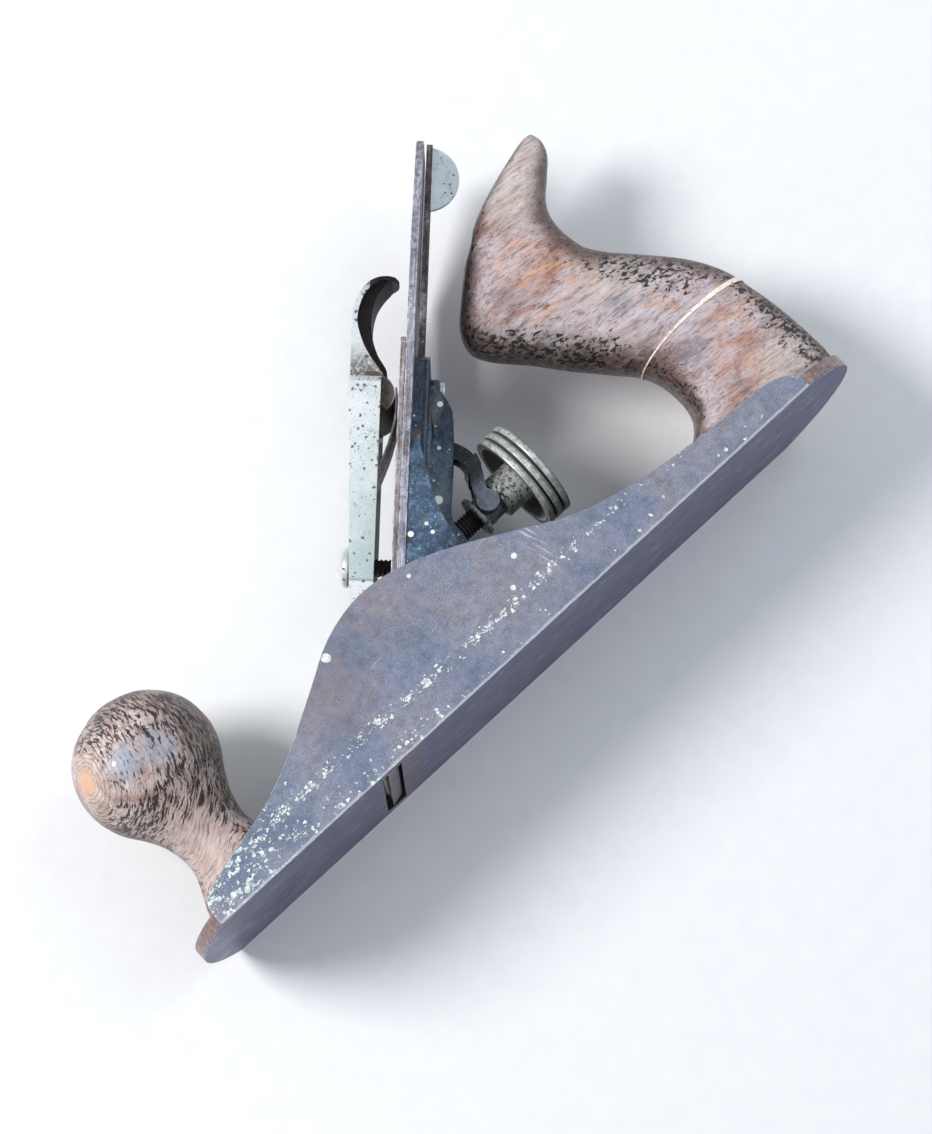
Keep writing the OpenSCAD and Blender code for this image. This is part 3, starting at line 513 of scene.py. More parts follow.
def tote_wood():
    """Old varnished handle: red-brown and grey-beige along the grain, with near-black painted shade and black
    flakes on its rounded edges.
    """
    m = Mat("tote_wood", 0, 0.42, 0.32, 0.05)
    x, y, z = m.along(X), m.along(Y), m.along(Z)
    away = m.abs(y)
    fib = m.stretch(0.075, 1, 1, GRAIN_TURN)
    long = m.stretch(0.32, 1, 1, GRAIN_TURN)
    cloud = m.noise(0.085, 5, 0.64, 0.7, at=long)
    m.color = m.ramp(cloud, (0.3, (0.19, 0.11, 0.095)), (0.4, (0.37, 0.255, 0.235)),
                     (0.48, (0.47, 0.385, 0.395)), (0.56, (0.5, 0.445, 0.475)), (0.64, (0.48, 0.33, 0.285)),
                     (0.76, (0.25, 0.145, 0.118)))
    blotch = m.noise(0.34, 6, 0.7, 0.6, at=m.stretch(0.55, 1, 1, GRAIN_TURN))
    m.shade(blotch, (0.32, (0.5, 0.42, 0.4)), (0.48, (0.98, 0.96, 0.95)), (0.66, (1.06, 1.06, 1.08)))
    # Weathered beige: the horn, the middle of the grip, the heel
    beige = m.spots((0.95, (-93, 9, 107), 21, 0.6, 4, 0.07), (0.75, (-91, 11, 66), 15, 0.7, 6, 0.1),
                    (0.75, (-113, 11, 12), 17, 0.7, 6, 0.1))
    m.lay(m.between(m.noise(0.25, 5, 0.62, at=long), (0.44, 0.365, 0.33), (0.57, 0.5, 0.47)), beige)
    # Red and orange stain that is left in the grain
    warm = m.spots((1, (-78, 11, 84), 14, 0.7, 6, 0.12), (1, (-87, 11, 77), 12, 0.7, 6, 0.12),
                   (1, (-106, 11, 31), 12, 0.7, 5, 0.12), (0.7, (-98, 11, 20), 15, 0.8, 6, 0.12))
    warm = m.mul(warm, m.clouds(0.36, 0.62, 0.42, 5, 0.64, 0.4, at=long))
    rest = m.mul(m.clouds(0.52, 0.68, 0.11, 5, 0.62, 0.8, at=long), 0.45)
    m.lay(m.ramp(m.noise(0.3, 4, 0.6, at=long), (0.38, (0.4, 0.15, 0.095)), (0.62, (0.6, 0.33, 0.19))),
          m.most(warm, rest), 0.72)
    blue = m.spots((1, (-92, 11, 33), 7, 0.7, 4, 0.15), (1, (-88, 11, 58), 6, 0.7, 4, 0.15),
                   (0.6, (-66, 11, 82), 8, 0.8, 4, 0.15))
    m.lay((0.165, 0.17, 0.205), m.mul(blue,
                                      m.ramp(m.noise(0.8, 5, 0.66, at=long), (0.38, 0.15), (0.6, 0.75))))
    olive = m.every(m.spot((-99, 11, 71), 14, 0.7, 8, 0.11), m.clouds(0.36, 0.56, 0.5, 5, 0.68, at=long))
    m.lay((0.27, 0.25, 0.225), olive, 0.6)
    # Painted shadow: dark brown in the hollow at the back under the horn, and one dark brown patch at the
    # front by the break
    shadow_and_umber = m.spots((1, (-98, 9, 90), 16, 0.6, 5, 0.12), (1, (-97, 9, 80), 13, 0.6, 4, 0.12),
                    (1, (-105, 9, 100), 12, 0.6, 3, 0.12), (1, (-81, 11, 38), 9, 0.8, 5, 0.12))
    m.lay((0.12, 0.068, 0.058), m.mul(shadow_and_umber,
                                      m.ramp(m.noise(0.6, 5, 0.68, at=long), (0.34, 0.45), (0.56, 0.95))))
    # Worn grey-beige behind the flakes under the nose
    nose = m.every(m.step(m.sub(x, m.mul(z, 0.85)), -130, -118),
                   m.step(z, 40, 52), m.step(z, 88, 80))
    m.lay((0.44, 0.41, 0.395), nose, 0.6)
    # Fibres and pores
    fibre = m.noise(1.15, 6, 0.7, 0.35, at=fib)
    m.shade(fibre, (0.3, 0.34), (0.44, 0.88), (0.58, 1.06), (0.74, 1.2))
    pores = m.clouds(0.57, 0.68, 2.4, 4, 0.66, at=m.stretch(0.16, 1, 1, GRAIN_TURN))
    m.lay((0.085, 0.046, 0.036), m.every(pores, m.mad(beige, -0.35, 0.58)))
    # Painted shade: dark brown on the turned edges, where the sides curve away
    uneven = m.mad(m.noise(0.2, 5, 0.66, at=long), 7, -3.5)
    tip = m.math("DIVIDE", m.vec("DISTANCE", m.p, (-108, 0, 116)), 40)
    width = m.ramp(tip, (0, 0.25), (0.25, 0.56), (0.5, 0.77), (0.75, 0.9), (1, 1))
    edge_shade = m.step(m.add(m.math("DIVIDE", away, width), uneven), 11.4, 6.8)
    m.lay(m.ramp(m.noise(0.6, 5, 0.66, at=long), (0.3, (0.028, 0.017, 0.016)), (0.5, (0.085, 0.05, 0.042)),
                 (0.66, (0.2, 0.145, 0.12))), edge_shade, 0.86)
    # Black flakes: thick under the nose and at the heel, thin elsewhere
    flake = m.noise(0.85, 6, 0.7, 0.4, at=m.stretch(0.45, 1, 1, GRAIN_TURN))
    heel = m.every(m.step(x, -108, -119), m.step(z, 50, 40))
    back = m.every(m.step(m.add(x, m.mul(z, -0.515)), -120, -128),
                   m.step(z, 40, 50), m.step(z, 84, 74), 0.85)
    where = m.most(m.mul(edge_shade, 0.8), nose, heel, back, 0.08)
    black = m.step(m.sub(flake, m.mad(where, -0.185, 0.675)), 0, 0.03)
    m.lay(BARK, black, 0.93)
    drops = m.most(m.dots(9, 0.8, 0.12), m.spot((-86, 11.6, 97), 0.9))
    m.lay((0.78, 0.76, 0.7), drops)
    rough = m.sub(m.between(fibre, 0.56, 0.42), m.mul(m.most(black, edge_shade), 0.16))
    height = m.add(fibre, m.mul(pores, -0.7))
    height = m.add(height, m.mul(black, 0.5))
    return m.done(rough, height, 0.14, 0.9)


def knob_wood():
    """Turned knob: growth rings around a tan heart on its side, black varnish left in arcs around them."""
    m = Mat("knob_wood", 0, 0.42, 0.32, 0.05)
    x, y, z = m.along(X), m.along(Y), m.along(Z)
    # Polar coordinates around the axis through the heart of the grain
    heart = Vector((115.7, 12.7, 56.9))
    axis = (heart - Vector((KNOB_X, 0, 53))).normalized()
    side = axis.cross(Vector(Z)).normalized()
    other = axis.cross(side)
    rel = m.vec("SUBTRACT", m.p, heart)
    a = m.vec("DOT_PRODUCT", rel, side)
    b = m.vec("DOT_PRODUCT", rel, other)
    warp = m.mad(m.noise(0.09, 4, 0.55), 5, -2.5)
    rad = m.add(m.vec("LENGTH", rel), warp)
    ang = m.math("ARCTAN2", a, b)
    depth = m.vec("DOT_PRODUCT", rel, axis)
    arcs = m.node("CombineXYZ", X=m.mul(rad, 1.7), Y=m.mul(ang, 5), Z=m.mul(depth, 0.3)).outputs[0]
    # Away from the heart the arcs would meet in a star, so that side has plain upright grain
    plain = m.stretch(1, 1, 0.35)
    far = m.step(depth, -23, -31)

    def grain(scale):
        near_heart = m.noise(scale, 5, 0.68, 0.2, at=arcs)
        away = m.noise(scale * 1.2, 5, 0.68, 0.2, at=plain)
        return m.mad(far, m.sub(away, near_heart), near_heart)

    cloud = m.noise(0.075, 5, 0.62, 0.6)
    m.color = m.ramp(cloud, (0.28, (0.26, 0.16, 0.13)), (0.42, (0.42, 0.31, 0.27)),
                     (0.55, (0.54, 0.45, 0.42)), (0.68, (0.43, 0.3, 0.25)), (0.8, (0.27, 0.165, 0.135)))
    blotch = m.noise(0.3, 6, 0.7, 0.5)
    m.shade(blotch, (0.32, (0.55, 0.48, 0.46)), (0.48, (1.00, 1.00, 1.02)), (0.66, (1.16, 1.17, 1.22)))
    m.lay((0.43, 0.32, 0.295), m.spot((106, 13, 24), 16, 0.7, 5), 0.6)
    fibre = grain(1.3)
    m.shade(fibre, (0.3, 0.38), (0.45, 0.9), (0.6, 1.08), (0.74, 1.26))
    rings = m.math("SINE", m.mul(rad, 4.6))
    near = m.step(rad, 22, 5)
    m.lay((0.15, 0.08, 0.055), m.every(m.step(rings, 0.3, 1), m.mad(near, 0.4, 0.12)))
    m.lay((0.64, 0.39, 0.24), m.step(rad, 5.6, 1.6), 0.8)
    blue = m.spots((1, (103.5, 20.7, 52.5), 7.5, 0.8, 5.5, 0.22), (0.75, (95, 20, 50), 9, 0.8, 6, 0.22))
    m.lay((0.215, 0.26, 0.34), blue, 0.75)
    # Painted shade: the silhouette side and the underside are darkened with a dark brown layer
    turned = m.add(m.sub(x, KNOB_X), m.mad(m.noise(0.13, 5, 0.64), 10, -5))
    shade = m.most(m.mul(m.step(turned, -6, -17), 0.9),
                   m.mul(m.every(m.step(y, 9, 1), m.step(x, 106, 116)), 0.75),
                   m.mul(m.every(m.step(z, 60, 70), m.step(x, 112, 100)), 0.8),
                   m.mul(m.step(y, 3, -6), 0.6))
    m.lay((0.1, 0.066, 0.058), shade, 0.7)
    # Black arcs
    streaks = grain(0.95)
    clear = m.most(m.mul(m.spot((107, 13, 23), 15, 0.6, 4), 0.8), m.mul(blue, 0.5),
                   m.mul(m.spot((116, 4, 62), 11, 0.6, 3), 0.6))
    thick = m.most(m.step(turned, 6, -10), m.step(z, 54, 64), m.mul(m.step(z, 47, 38), m.step(z, 26, 32)))
    field = m.every(m.step(rad, 5, 12), m.sub(1, clear),
                    m.mad(m.clouds(0.3, 0.52, 0.1, 4, 0.6, 0.5), 0.45, 0.55),
                    m.mad(thick, 0.35, 0.8))
    # The black arcs also gather thicker in the painted shade
    field = m.most(field, shade)
    black = m.step(m.sub(streaks, m.mad(field, -0.185, 0.672)), 0, 0.035)
    m.lay(BARK, black, 0.92)
    drops = m.most(m.spot((106.5, 19.5, 54.3), 0.8), m.spot((88.5, 16, 50), 0.6), m.dots(10, 0.7, 0.1))
    m.lay((0.78, 0.76, 0.7), drops)
    rough = m.sub(m.between(fibre, 0.54, 0.38), m.mul(black, 0.12))
    height = m.add(fibre, m.mul(black, 0.6))
    height = m.add(height, m.mul(rings, 0.1))
    return m.done(rough, height, 0.15, 0.9)


def dried_glue():
    """Pale glue with brown stains, squeezed out of the break."""
    m = Mat("dried_glue", 0, 0.4, 0.5)
    cloud = m.noise(0.9)
    m.color = m.ramp(cloud, (0.3, (0.52, 0.38, 0.28)), (0.45, (0.8, 0.7, 0.62)), (0.7, (0.9, 0.85, 0.79)))
    m.lay((0.2, 0.11, 0.07), m.every(m.clouds(0.57, 0.66, 1.1, 5, 0.66), 0.75))
    return m.done(m.between(cloud, 0.5, 0.3), m.noise(1.6, 4, 0.6), 0.12, 0.8)


MATS = dict(
    ground=casting_ground(),
    sole=casting_sole(),
    inside=japanned(),
    arris=edge_wear("casting_arris", (0.46, 0.47, 0.52), (0.19, 0.19, 0.23)),
    frog=frog_paint(),
    frog_edge=edge_wear("frog_edge", (0.24, 0.3, 0.36), (0.045, 0.07, 0.095), 0.15, 0.42),
    nickel=nickel_plate("nickel", (0.66, 0.74, 0.75), (0.76, 0.82, 0.83), "cap", 0.35),
    nickel_edge=edge_wear("nickel_edge", (0.78, 0.81, 0.79), (0.46, 0.48, 0.44), 0.5, 0.3),
    lever=nickel_plate("lever_nickel", (0.66, 0.7, 0.71), (0.78, 0.81, 0.82), "lever", 0.35),
    brown=brown_inside(),
    tab=nickel_plate("tab_nickel", (0.7, 0.82, 0.88), (0.84, 0.91, 0.95), "tab", 0.15),
    iron=rusty_steel("iron_steel", (0.108, 0.1, 0.118), (0.266, 0.272, 0.33), (0.44, 0.452, 0.53)),
    iron_edge=edge_wear("iron_edge", (0.52, 0.51, 0.54), (0.15, 0.125, 0.13), 0.4, 0.4),
    cap=rusty_steel("cap_steel", (0.125, 0.088, 0.08), (0.26, 0.225, 0.235), (0.4, 0.385, 0.415)),
    stem=rusty_steel("stem_steel", (0.05, 0.036, 0.034), (0.12, 0.092, 0.088), (0.28, 0.255, 0.25),
                     pits=0.56),
    spring=rusty_steel("spring_steel", (0.34, 0.34, 0.36), (0.58, 0.58, 0.61), (0.74, 0.74, 0.76), 0.2, 0.7),
    steel=dark_steel(),
    thread=dark_steel("thread_steel", 0.7),
    dome=nickel_plate("dome_nickel", (0.62, 0.62, 0.64), (0.76, 0.76, 0.79)),
    wheel=wheel_plate(),
    brass=brass(),
    yoke=yoke_paint(),
    knob=knob_wood(),
    tote=tote_wood(),
    glue=dried_glue(),
)


# ---- mesh helpers

def curve(points, steps=6):
    """A smooth curve through the points, end to end."""
    out = []
    last = len(points) - 1
    for i in range(last):
        a, b, c, d = (points[max(i - 1, 0)], points[i], points[i + 1], points[min(i + 2, last)])
        for k in range(steps):
            t = k / steps
            out.append(tuple(0.5 * (2 * q + (r - p) * t + (2 * p - 5 * q + 4 * r - s) * t * t
                                    + (3 * q - p - 3 * r + s) * t ** 3) for p, q, r, s in zip(a, b, c, d)))
    out.append(tuple(points[last]))
    return out


def add_object(name, data):
    o = bpy.data.objects.new(name, data)
    bpy.context.scene.collection.objects.link(o)
    return o


def make(name, bm, mats, node, sharp, nodes=None):
    """Turns a bmesh in mm into a piece in metres. It gets the CAD node's body and hides that node, or the
    nodes that are given, in its place. `mats` holds keys of MATS."""
    bmesh.ops.recalc_face_normals(bm, faces=bm.faces)
    bm.transform(Matrix.Scale(MM, 4))
    me = bpy.data.meshes.new(name)
    bm.to_mesh(me)
    bm.free()
    me.shade_smooth()
    me.set_sharp_from_angle(angle=math.radians(sharp))
    o = add_object(name, me)
    for k in mats.split():
        me.materials.append(MATS[k])
    body, slot = BODY_OF[node], SLOT_OF[node]
    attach(o, body)
    nodes = (node,) if nodes is None else nodes
    if nodes:
        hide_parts(*nodes)
    return o


def bridge(bm, rings):
    """Joins each ring of vertices to the next. A ring may be a single vertex."""
    for a, b in zip(rings, rings[1:]):
        n = max(len(a), len(b))
        for k in range(n if n > 1 else 0):
            j = (k + 1) % n
            if len(a) == 1:
                bm.faces.new((a[0], b[k], b[j]))
            elif len(b) == 1:
                bm.faces.new((a[k], a[j], b[0]))
            else:
                bm.faces.new((a[k], a[j], b[j], b[k]))


def lathe(profile, place, segments):
    """Revolves [radius, height] points around Z, then places the result. In mm."""
    bm = bmesh.new()
    rings = []
    for r, h in profile:
        if r < 1e-6:
            rings.append([bm.verts.new((0, 0, h))])
        else:
            rings.append([bm.verts.new((r * math.cos(a), r * math.sin(a), h))
                          for a in (2 * math.pi * k / segments for k in range(segments))])
    bridge(bm, rings)
    bm.transform(place)
    return bm


def rounded(points, radius, steps=4):
    """A profile with each inner corner rounded off. Points are (r, h) or (r, h, own radius)."""
    out = [tuple(points[0][:2])]
    for a, b, c in zip(points, points[1:], points[2:]):
        own = b[2] if len(b) > 2 else radius
        pa, pb, pc = Vector(a[:2]), Vector(b[:2]), Vector(c[:2])
        da, dc = pa - pb, pc - pb
        cut = min(own, da.length * 0.49, dc.length * 0.49)
        if cut < 1e-4:
            out.append(tuple(pb))
            continue
        s, e = pb + da.normalized() * cut, pb + dc.normalized() * cut
        for k in range(steps + 1):
            t = k / steps
            out.append(tuple((1 - t) ** 2 * s + 2 * t * (1 - t) * pb + t * t * e))
    out.append(tuple(points[-1][:2]))
    return out


def thread(radius, depth, pitch, low, high, place, turn, segments=40):
    """A threaded rod: the surface's radius follows a rounded V along a helix. A negative
    turn makes it left-handed."""
    per = 6
    rows = int((high - low) / pitch * per)
    bm = bmesh.new()
    grid = []
    for i in range(rows + 1):
        h = low + (high - low) * i / rows
        near_end = min(1, (h - low) / pitch, (high - h) / pitch)
        ring = []
        for k in range(segments):
            a = 2 * math.pi * k / segments
            phase = (h / pitch - turn * k / segments) % 1.0
            groove = 1 - abs(2 * phase - 1)
            groove = min(1, max(0, groove * 1.25 - 0.12))
            r = radius - depth * groove - (1 - near_end) * depth * 0.8
            ring.append(bm.verts.new((r * math.cos(a), r * math.sin(a), h)))
        grid.append(ring)
    bridge(bm, grid)
    bm.faces.new(list(reversed(grid[0])))
    bm.faces.new(grid[-1])
    bm.transform(place)
    return bm


def cad_mesh(node, flush=0.0):
    """The CAD node's shape in mm, welded, with its flat faces whole again. Points just inside |y| = flush are
    put on it."""
    bm = bmesh.new()
    bm.from_mesh(frame["nodes"][node].data)
    bm.transform(Matrix.Scale(1 / MM, 4))
    if flush:
        for v in bm.verts:
            if flush - 0.1 < abs(v.co.y) < flush:
                v.co.y = math.copysign(flush, v.co.y)
    bmesh.ops.remove_doubles(bm, verts=bm.verts, dist=0.06 if flush else 0.002)
    bmesh.ops.dissolve_limit(bm, angle_limit=math.radians(0.6), verts=bm.verts, edges=bm.edges)
    bmesh.ops.recalc_face_normals(bm, faces=bm.faces)
    return bm


def bevelled(node, mats, width, paint=None, worn=-1, angle=33.0, segments=3, inner=1.0, flush=0.0):
    """A copy of a CAD node with its corners rounded. paint(face) gives a face's material index, worn is the
    index for the rounded corners, and inner scales the rounding where two faces meet in a hollow."""
    bm = cad_mesh(node, flush)
    weight = bm.edges.layers.float.new("bevel_weight_edge")
    for e in bm.edges:
        if len(e.link_faces) == 2 and e.calc_face_angle() > math.radians(angle):
            e[weight] = 1.0 if e.is_convex else inner
    if paint:
        for f in bm.faces:
            f.material_index = paint(f)
    o = make("v_" + node, bm, mats, node, angle)
    if width > 0:
        o.data.attributes["sharp_edge"].data.foreach_set("value", [False] * len(o.data.edges))
        b = o.modifiers.new("round", "BEVEL")
        b.limit_method = "WEIGHT"
        b.width = width * MM
        b.segments = segments
        b.use_clamp_overlap = True
        b.miter_outer = "MITER_ARC"
        b.material = worn
        w = o.modifiers.new("shade", "WEIGHTED_NORMAL")
        w.keep_sharp = True
        w.weight = 80
    return o


def cut(target, cutter_bm, keep="DIFFERENCE"):
    """Cuts one mesh with another, and applies it."""
    pair = []
    for name, bm in (("cutter", cutter_bm), ("target", target)):
        bmesh.ops.recalc_face_normals(bm, faces=bm.faces)
        me = bpy.data.meshes.new(name)
        bm.to_mesh(me)
        bm.free()
        pair.append(add_object(name, me))
    c, t = pair
    mod = t.modifiers.new("cut", "BOOLEAN")
    mod.operation = keep
    mod.solver = "EXACT"
    mod.object = c
    dg = bpy.context.evaluated_depsgraph_get()
    out = bmesh.new()
    out.from_mesh(t.evaluated_get(dg).to_mesh())
    t.evaluated_get(dg).to_mesh_clear()
    for o in pair:
        data = o.data
        bpy.data.objects.remove(o)
        bpy.data.meshes.remove(data)
    bmesh.ops.remove_doubles(out, verts=out.verts, dist=0.0005)
    return out


def cylinder(r, low, high, place):
    return lathe([(0, low), (r, low), (r, high), (0, high)], place, 64)


def box_mesh(low, high, place):
    """A box between two corners, then placed."""
    bm = bmesh.new()
    bmesh.ops.create_cube(bm, size=1.0)
    for v in bm.verts:
        v.co = Vector([lo + (hi - lo) * (c + 0.5) for lo, hi, c in zip(low, high, v.co)])
    bm.transform(place)
    return bm


def slab(outline, half):
    """A flat outline of (x, z) points made into a slab from -half to half across Y."""
    bm = bmesh.new()
    a = [bm.verts.new((x, -half, z)) for x, z in outline]
    b = [bm.verts.new((x, half, z)) for x, z in outline]
    bm.faces.new(a)
    bm.faces.new(list(reversed(b)))
    n = len(a)
    for i in range(n):
        bm.faces.new((a[i], b[i], b[(i + 1) % n], a[(i + 1) % n]))
    return bm


def dent(bm, size, depth, seed, only=None):
    """Gives a smooth mesh a slightly uneven, handled surface."""
    bm.normal_update()
    for v in bm.verts:
        if only and not only(v):
            continue
        n = noise.noise(v.co / size + Vector((seed, seed, seed)))
        v.co -= v.normal * depth * max(0, 0.5 + n)


# ---- casting

def casting_face(f):
    """0 ground cheek, 1 sole and ends, 2 inside."""
    c, n = f.calc_center_median(), f.normal
    if n.z < -0.9 and c.z < 0.2:
        return 1
    if abs(c.y) > CHEEK_OUT - 0.3 and abs(n.y) > 0.9:
        return 0
    outward = abs(n.z) < 0.2 and n.x * c.x > 0
    if outward and c.z < SOLE_TOP and abs(c.x) > 100 and abs(c.y) <= CHEEK_OUT + 0.01:
        return 1
    if abs(c.y) > CHEEK_IN - 0.3 and abs(n.y) < 0.3 and n.z > -0.2 and c.z > SOLE_TOP + 0.1:
        return 0
    return 2


bevelled("body_casting", "ground sole inside arris", 0.35, paint=casting_face, worn=3, inner=0.0, angle=28)


# ---- wooden knob and handle

KNOB = Matrix.Translation((KNOB_X, 0, 0))


def knob():
    side = curve([(15.35, 7.06), (15.4, 9.5), (14, 12.8), (12.1, 16.8), (10.9, 21), (10.8, 25.5), (12.2, 31),
                  (15, 36.5), (18.6, 42), (20.8, 48), (21.15, 53.5), (20.15, 59), (17.6, 64), (13.2, 68.4),
                  (9, 70.8), (6.2, 71.5)], 5)
    profile = [(0, 7.06), (14.9, 7.06)] + side + [(5.85, 71.3), (5.85, 69.42), (4, 69.42), (4, 62), (0, 62)]
    bm = lathe(profile, KNOB, 128)
    dent(bm, 9, 0.22, 3, lambda v: v.co.z > 9 and (v.co.xy - Vector((KNOB_X, 0))).length > 7)
    make("v_knob", bm, "knob", "front_knob", 50)


STATIONS = [
    (-106.9, 116.4, -108.6, 114.6, 5), (-104, 116.2, -108.9, 111.6, 9), (-99, 114.9, -107.2, 107.6, 12.5),
    (-90, 112.2, -102.6, 102.9, 17), (-79, 108, -97.6, 98.3, 20.5), (-68.5, 101.5, -94.6, 93.6, 22.5),
    (-59, 93.6, -93.7, 88.8, 23.5), (-51.8, 86.6, -93.9, 84.2, 23.5), (-48.9, 79.6, -95, 79, 23.5),
    (-51.6, 73.4, -98.2, 74.4, 23.5), (-58.4, 65.6, -103.8, 68, 23.5), (-66.4, 55.8, -110.6, 60.6, 23.5),
    (-73.6, 47.4, -116.2, 52.8, 23.5), (-79.4, 40.8, -120, 44.6, 23.5), (-82.3, 35, -121.8, 36, 23.5),
    (-83.4, 28, -122.9, 28, 23.5), (-82.6, 21.8, -123.4, 20.5, 23.5), (-79, 17, -123.6, 14.5, 23.5),
    (-71, 12.4, -123.6, 10.4, 23.5), (-60, 9.8, -123.5, 8.4, 23.5), (-53.5, 8, -123.3, 7, 22.5),
    (-52, 5.06, -123, 5.06, 22.5),
]
ROD = Matrix.Translation((-102, 0, 4)) @ Matrix.Rotation(math.radians(18), 4, "Y")


def tote_blank(swell=0.0, sides=64, steps=5):
    """The whole handle: smooth sections from the tip of the horn down to the foot."""
    bm = bmesh.new()
    stations = curve(STATIONS, steps)
    rings = []
    for i, s in enumerate(stations):
        at = i / steps
        sq = 0.8 if at < 12 else 0.8 - 0.04 * (at - 12)
        mid = Vector(((s[0] + s[2]) / 2, 0, (s[1] + s[3]) / 2))
        reach = Vector(((s[0] - s[2]) / 2, 0, (s[1] - s[3]) / 2))
        reach *= 1 + swell / reach.length
        half = s[4] / 2 + swell
        ring = []
        for k in range(sides):
            a = 2 * math.pi * (k + 0.5) / sides
            ca, sa = math.cos(a), math.sin(a)
            p = mid + reach * math.copysign(abs(ca) ** sq, ca)
            p.y = half * math.copysign(abs(sa) ** sq, sa)
            ring.append(bm.verts.new(p))
        rings.append(ring)
    tip = bm.verts.new((-108.3, 0, 116.1))
    bridge(bm, [[tip]] + rings)
    bm.faces.new(rings[-1])
    bmesh.ops.recalc_face_normals(bm, faces=bm.faces)
    return bm


LOW = 39.6
BREAK_LOW, BREAK_HIGH = [
    curve([(x, LOW + up) for x, up in zip((-130, -118, -101, -86, -72), ups)], 8)
    for ups in ((-2, 0.5, 1.7, 0.8, -2), (0, 2.1, 2.7, 1.3, -1.6))]


def tote():
    """Two halves, bored for the rod and its nut, and the bead of glue between them."""
    above = BREAK_HIGH + [(-40, LOW), (-40, 130), (-130, 130)]
    below = BREAK_LOW + [(-40, LOW - 4), (-40, 0), (-130, 0)]
    for node, keep, bores in (("tote_upper", above, ((6, 97.5, 140), (3, 30, 100))),
                              ("tote_lower", below, ((5.7, -5, 6.6),))):
        half = tote_blank()
        dent(half, 11, 0.25, 7)
        half = cut(half, slab(keep, 30), "INTERSECT")
        for bore in bores:
            half = cut(half, cylinder(*bore, ROD))
        make("v_" + node, half, "tote", node, 50)
    glue = cut(tote_blank(0.12), slab(BREAK_LOW + list(reversed(BREAK_HIGH)), 30), "INTERSECT")
    make("v_glue_bead", glue, "glue", "tote_glue_line", 40)


knob()
tote()


def slotted_nut(node, place, head_r, head_low, head_high, stem_r, stem_low):
    profile = rounded([(0, stem_low), (stem_r, stem_low), (stem_r, head_low), (head_r, head_low, 0.15),
                       (head_r, head_high, 0.45), (0, head_high)], 0.1)
    bm = cut(lathe(profile, place, 80), box_mesh((-7, -0.8, head_high - 1.1), (7, 0.8, head_high + 2), place))
    make("v_" + node, bm, "brass", node, 30)


slotted_nut("knob_nut", KNOB, 5.7, 69.5, 72, 3.9, 63)
slotted_nut("tote_nut", ROD, 5.8, 97.6, 100.2, 3.9, 90)


# ---- frog and its screws

bevelled("frog", "frog frog_edge", 0.4, worn=1, inner=0.0, flush=25.0)
bevelled("frog_clip", "steel", 0.15)
for node in ("frog_clip_screw", "frog_adjusting_screw", "frog_screws", "frog_washers"):
    bevelled(node, "steel", 0.18, angle=40, segments=2)


# ---- depth adjustment

BACK_X = Matrix.Rotation(math.radians(-90), 4, "Y")
WHEEL = Matrix.Translation((-16, 0, STUD_Z)) @ BACK_X


def wheel():
    """Flange, groove, hub and a cup-shaped wheel with three ridges, turned in one."""
    ridge, front, back = 2.1, 14.8, 22.7
    pitch = (back - front - ridge) / 2
    p = [(3.9, 0.02), (5.9, 0.02, 0.3), (6.3, 0.5, 0.2), (6.3, 1.45, 0.3), (4.5, 1.55, 0.5), (4.5, 8.25, 0.5),
         (6.3, 8.35, 0.2), (6.3, 19.6, 0.9), (12.6, 19.6, 0.9), (13.1, 15.2, 0.25), (13.5, front, 0.25)]
    for i in range(3):
        h = front + i * pitch
        p += [(15.35, h, 0.2), (15.6, h + 0.25, 0.2), (15.6, h + ridge - 0.2, 0.2), (15.4, h + ridge, 0.12)]
        if i < 2:
            p += [(14.45, h + ridge + 0.08, 0.2), (14.45, h + pitch - 0.08, 0.2)]
    p += [(13.4, back, 0.3), (12.9, back - 0.7, 0.3), (6.6, back - 0.7, 0.3), (6, back, 0.3), (3.9, back)]
    make("v_wheel", lathe(rounded(p + [p[0]], 0.3), WHEEL, 144), "wheel", "adjusting_wheel", 40)


def stud():
    place = Matrix.Translation((-1.4, 0, STUD_Z)) @ BACK_X
    rod = thread(radius=3.3, depth=0.5, pitch=1.06, low=0.05, high=38.95, place=place, turn=-1)
    make("v_stud", rod, "thread", "adjusting_stud", 60)


wheel()
stud()
bevelled("adjusting_bush", "brass", 0, angle=28)
bevelled("yoke", "yoke", 0.5)
bevelled("yoke_pin", "frog", 0.2, angle=40)


# ---- lateral adjustment

def in_bed(f):
    """A face's middle and normal in the bed frame."""
    return BED.inverted() @ f.calc_center_median(), BED.inverted().to_3x3() @ f.normal


def lateral_face(f):
    """0 rusty stem, 1 plated thumb tab."""
    c = in_bed(f)[0]
    return 1 if c.x > 170 and c.z < -2.0 else 0


bevelled("lateral_lever", "stem tab", 0.3, paint=lateral_face)
bevelled("lateral_rivet", "dome", 0.3)
bevelled("lateral_roller", "steel", 0.15)


# ---- irons

bevelled("plane_iron", "iron iron_edge", 0.22, worn=1, inner=0.0, angle=25)
bevelled("cap_iron", "cap iron_edge", 0.22, worn=1, inner=0.0)
bevelled("cap_iron_screw", "steel", 0.3)


# ---- lever cap

def cap_face(f):
    """0 plate, 1 the hollow back."""
    c, n = in_bed(f)
    return 1 if n.z < -0.3 and abs(c.y) < 12.1 else 0


def thumb_face(f):
    """0 plate, 1 dark underside and cam."""
    c, n = in_bed(f)
    if abs(n.y) > 0.8 and abs(c.y) > 11.2:
        return 0 if c.x > 113.5 and c.z > 9.5 else 1
    if n.z < 0.15 or abs(c.y) < 6.6 and abs(n.y) > 0.8:
        return 1
    return 0


bevelled("lever_cap", "nickel brown nickel_edge", 0.45, paint=cap_face, worn=2, inner=0.3, angle=30)
bevelled("cam_lever", "lever brown", 0.3, paint=thumb_face, inner=0.5)
bevelled("cam_pin", "nickel", 0.1)
bevelled("lever_cap_spring", "spring", 0, angle=28)
bevelled("spring_rivet", "steel", 0.25)


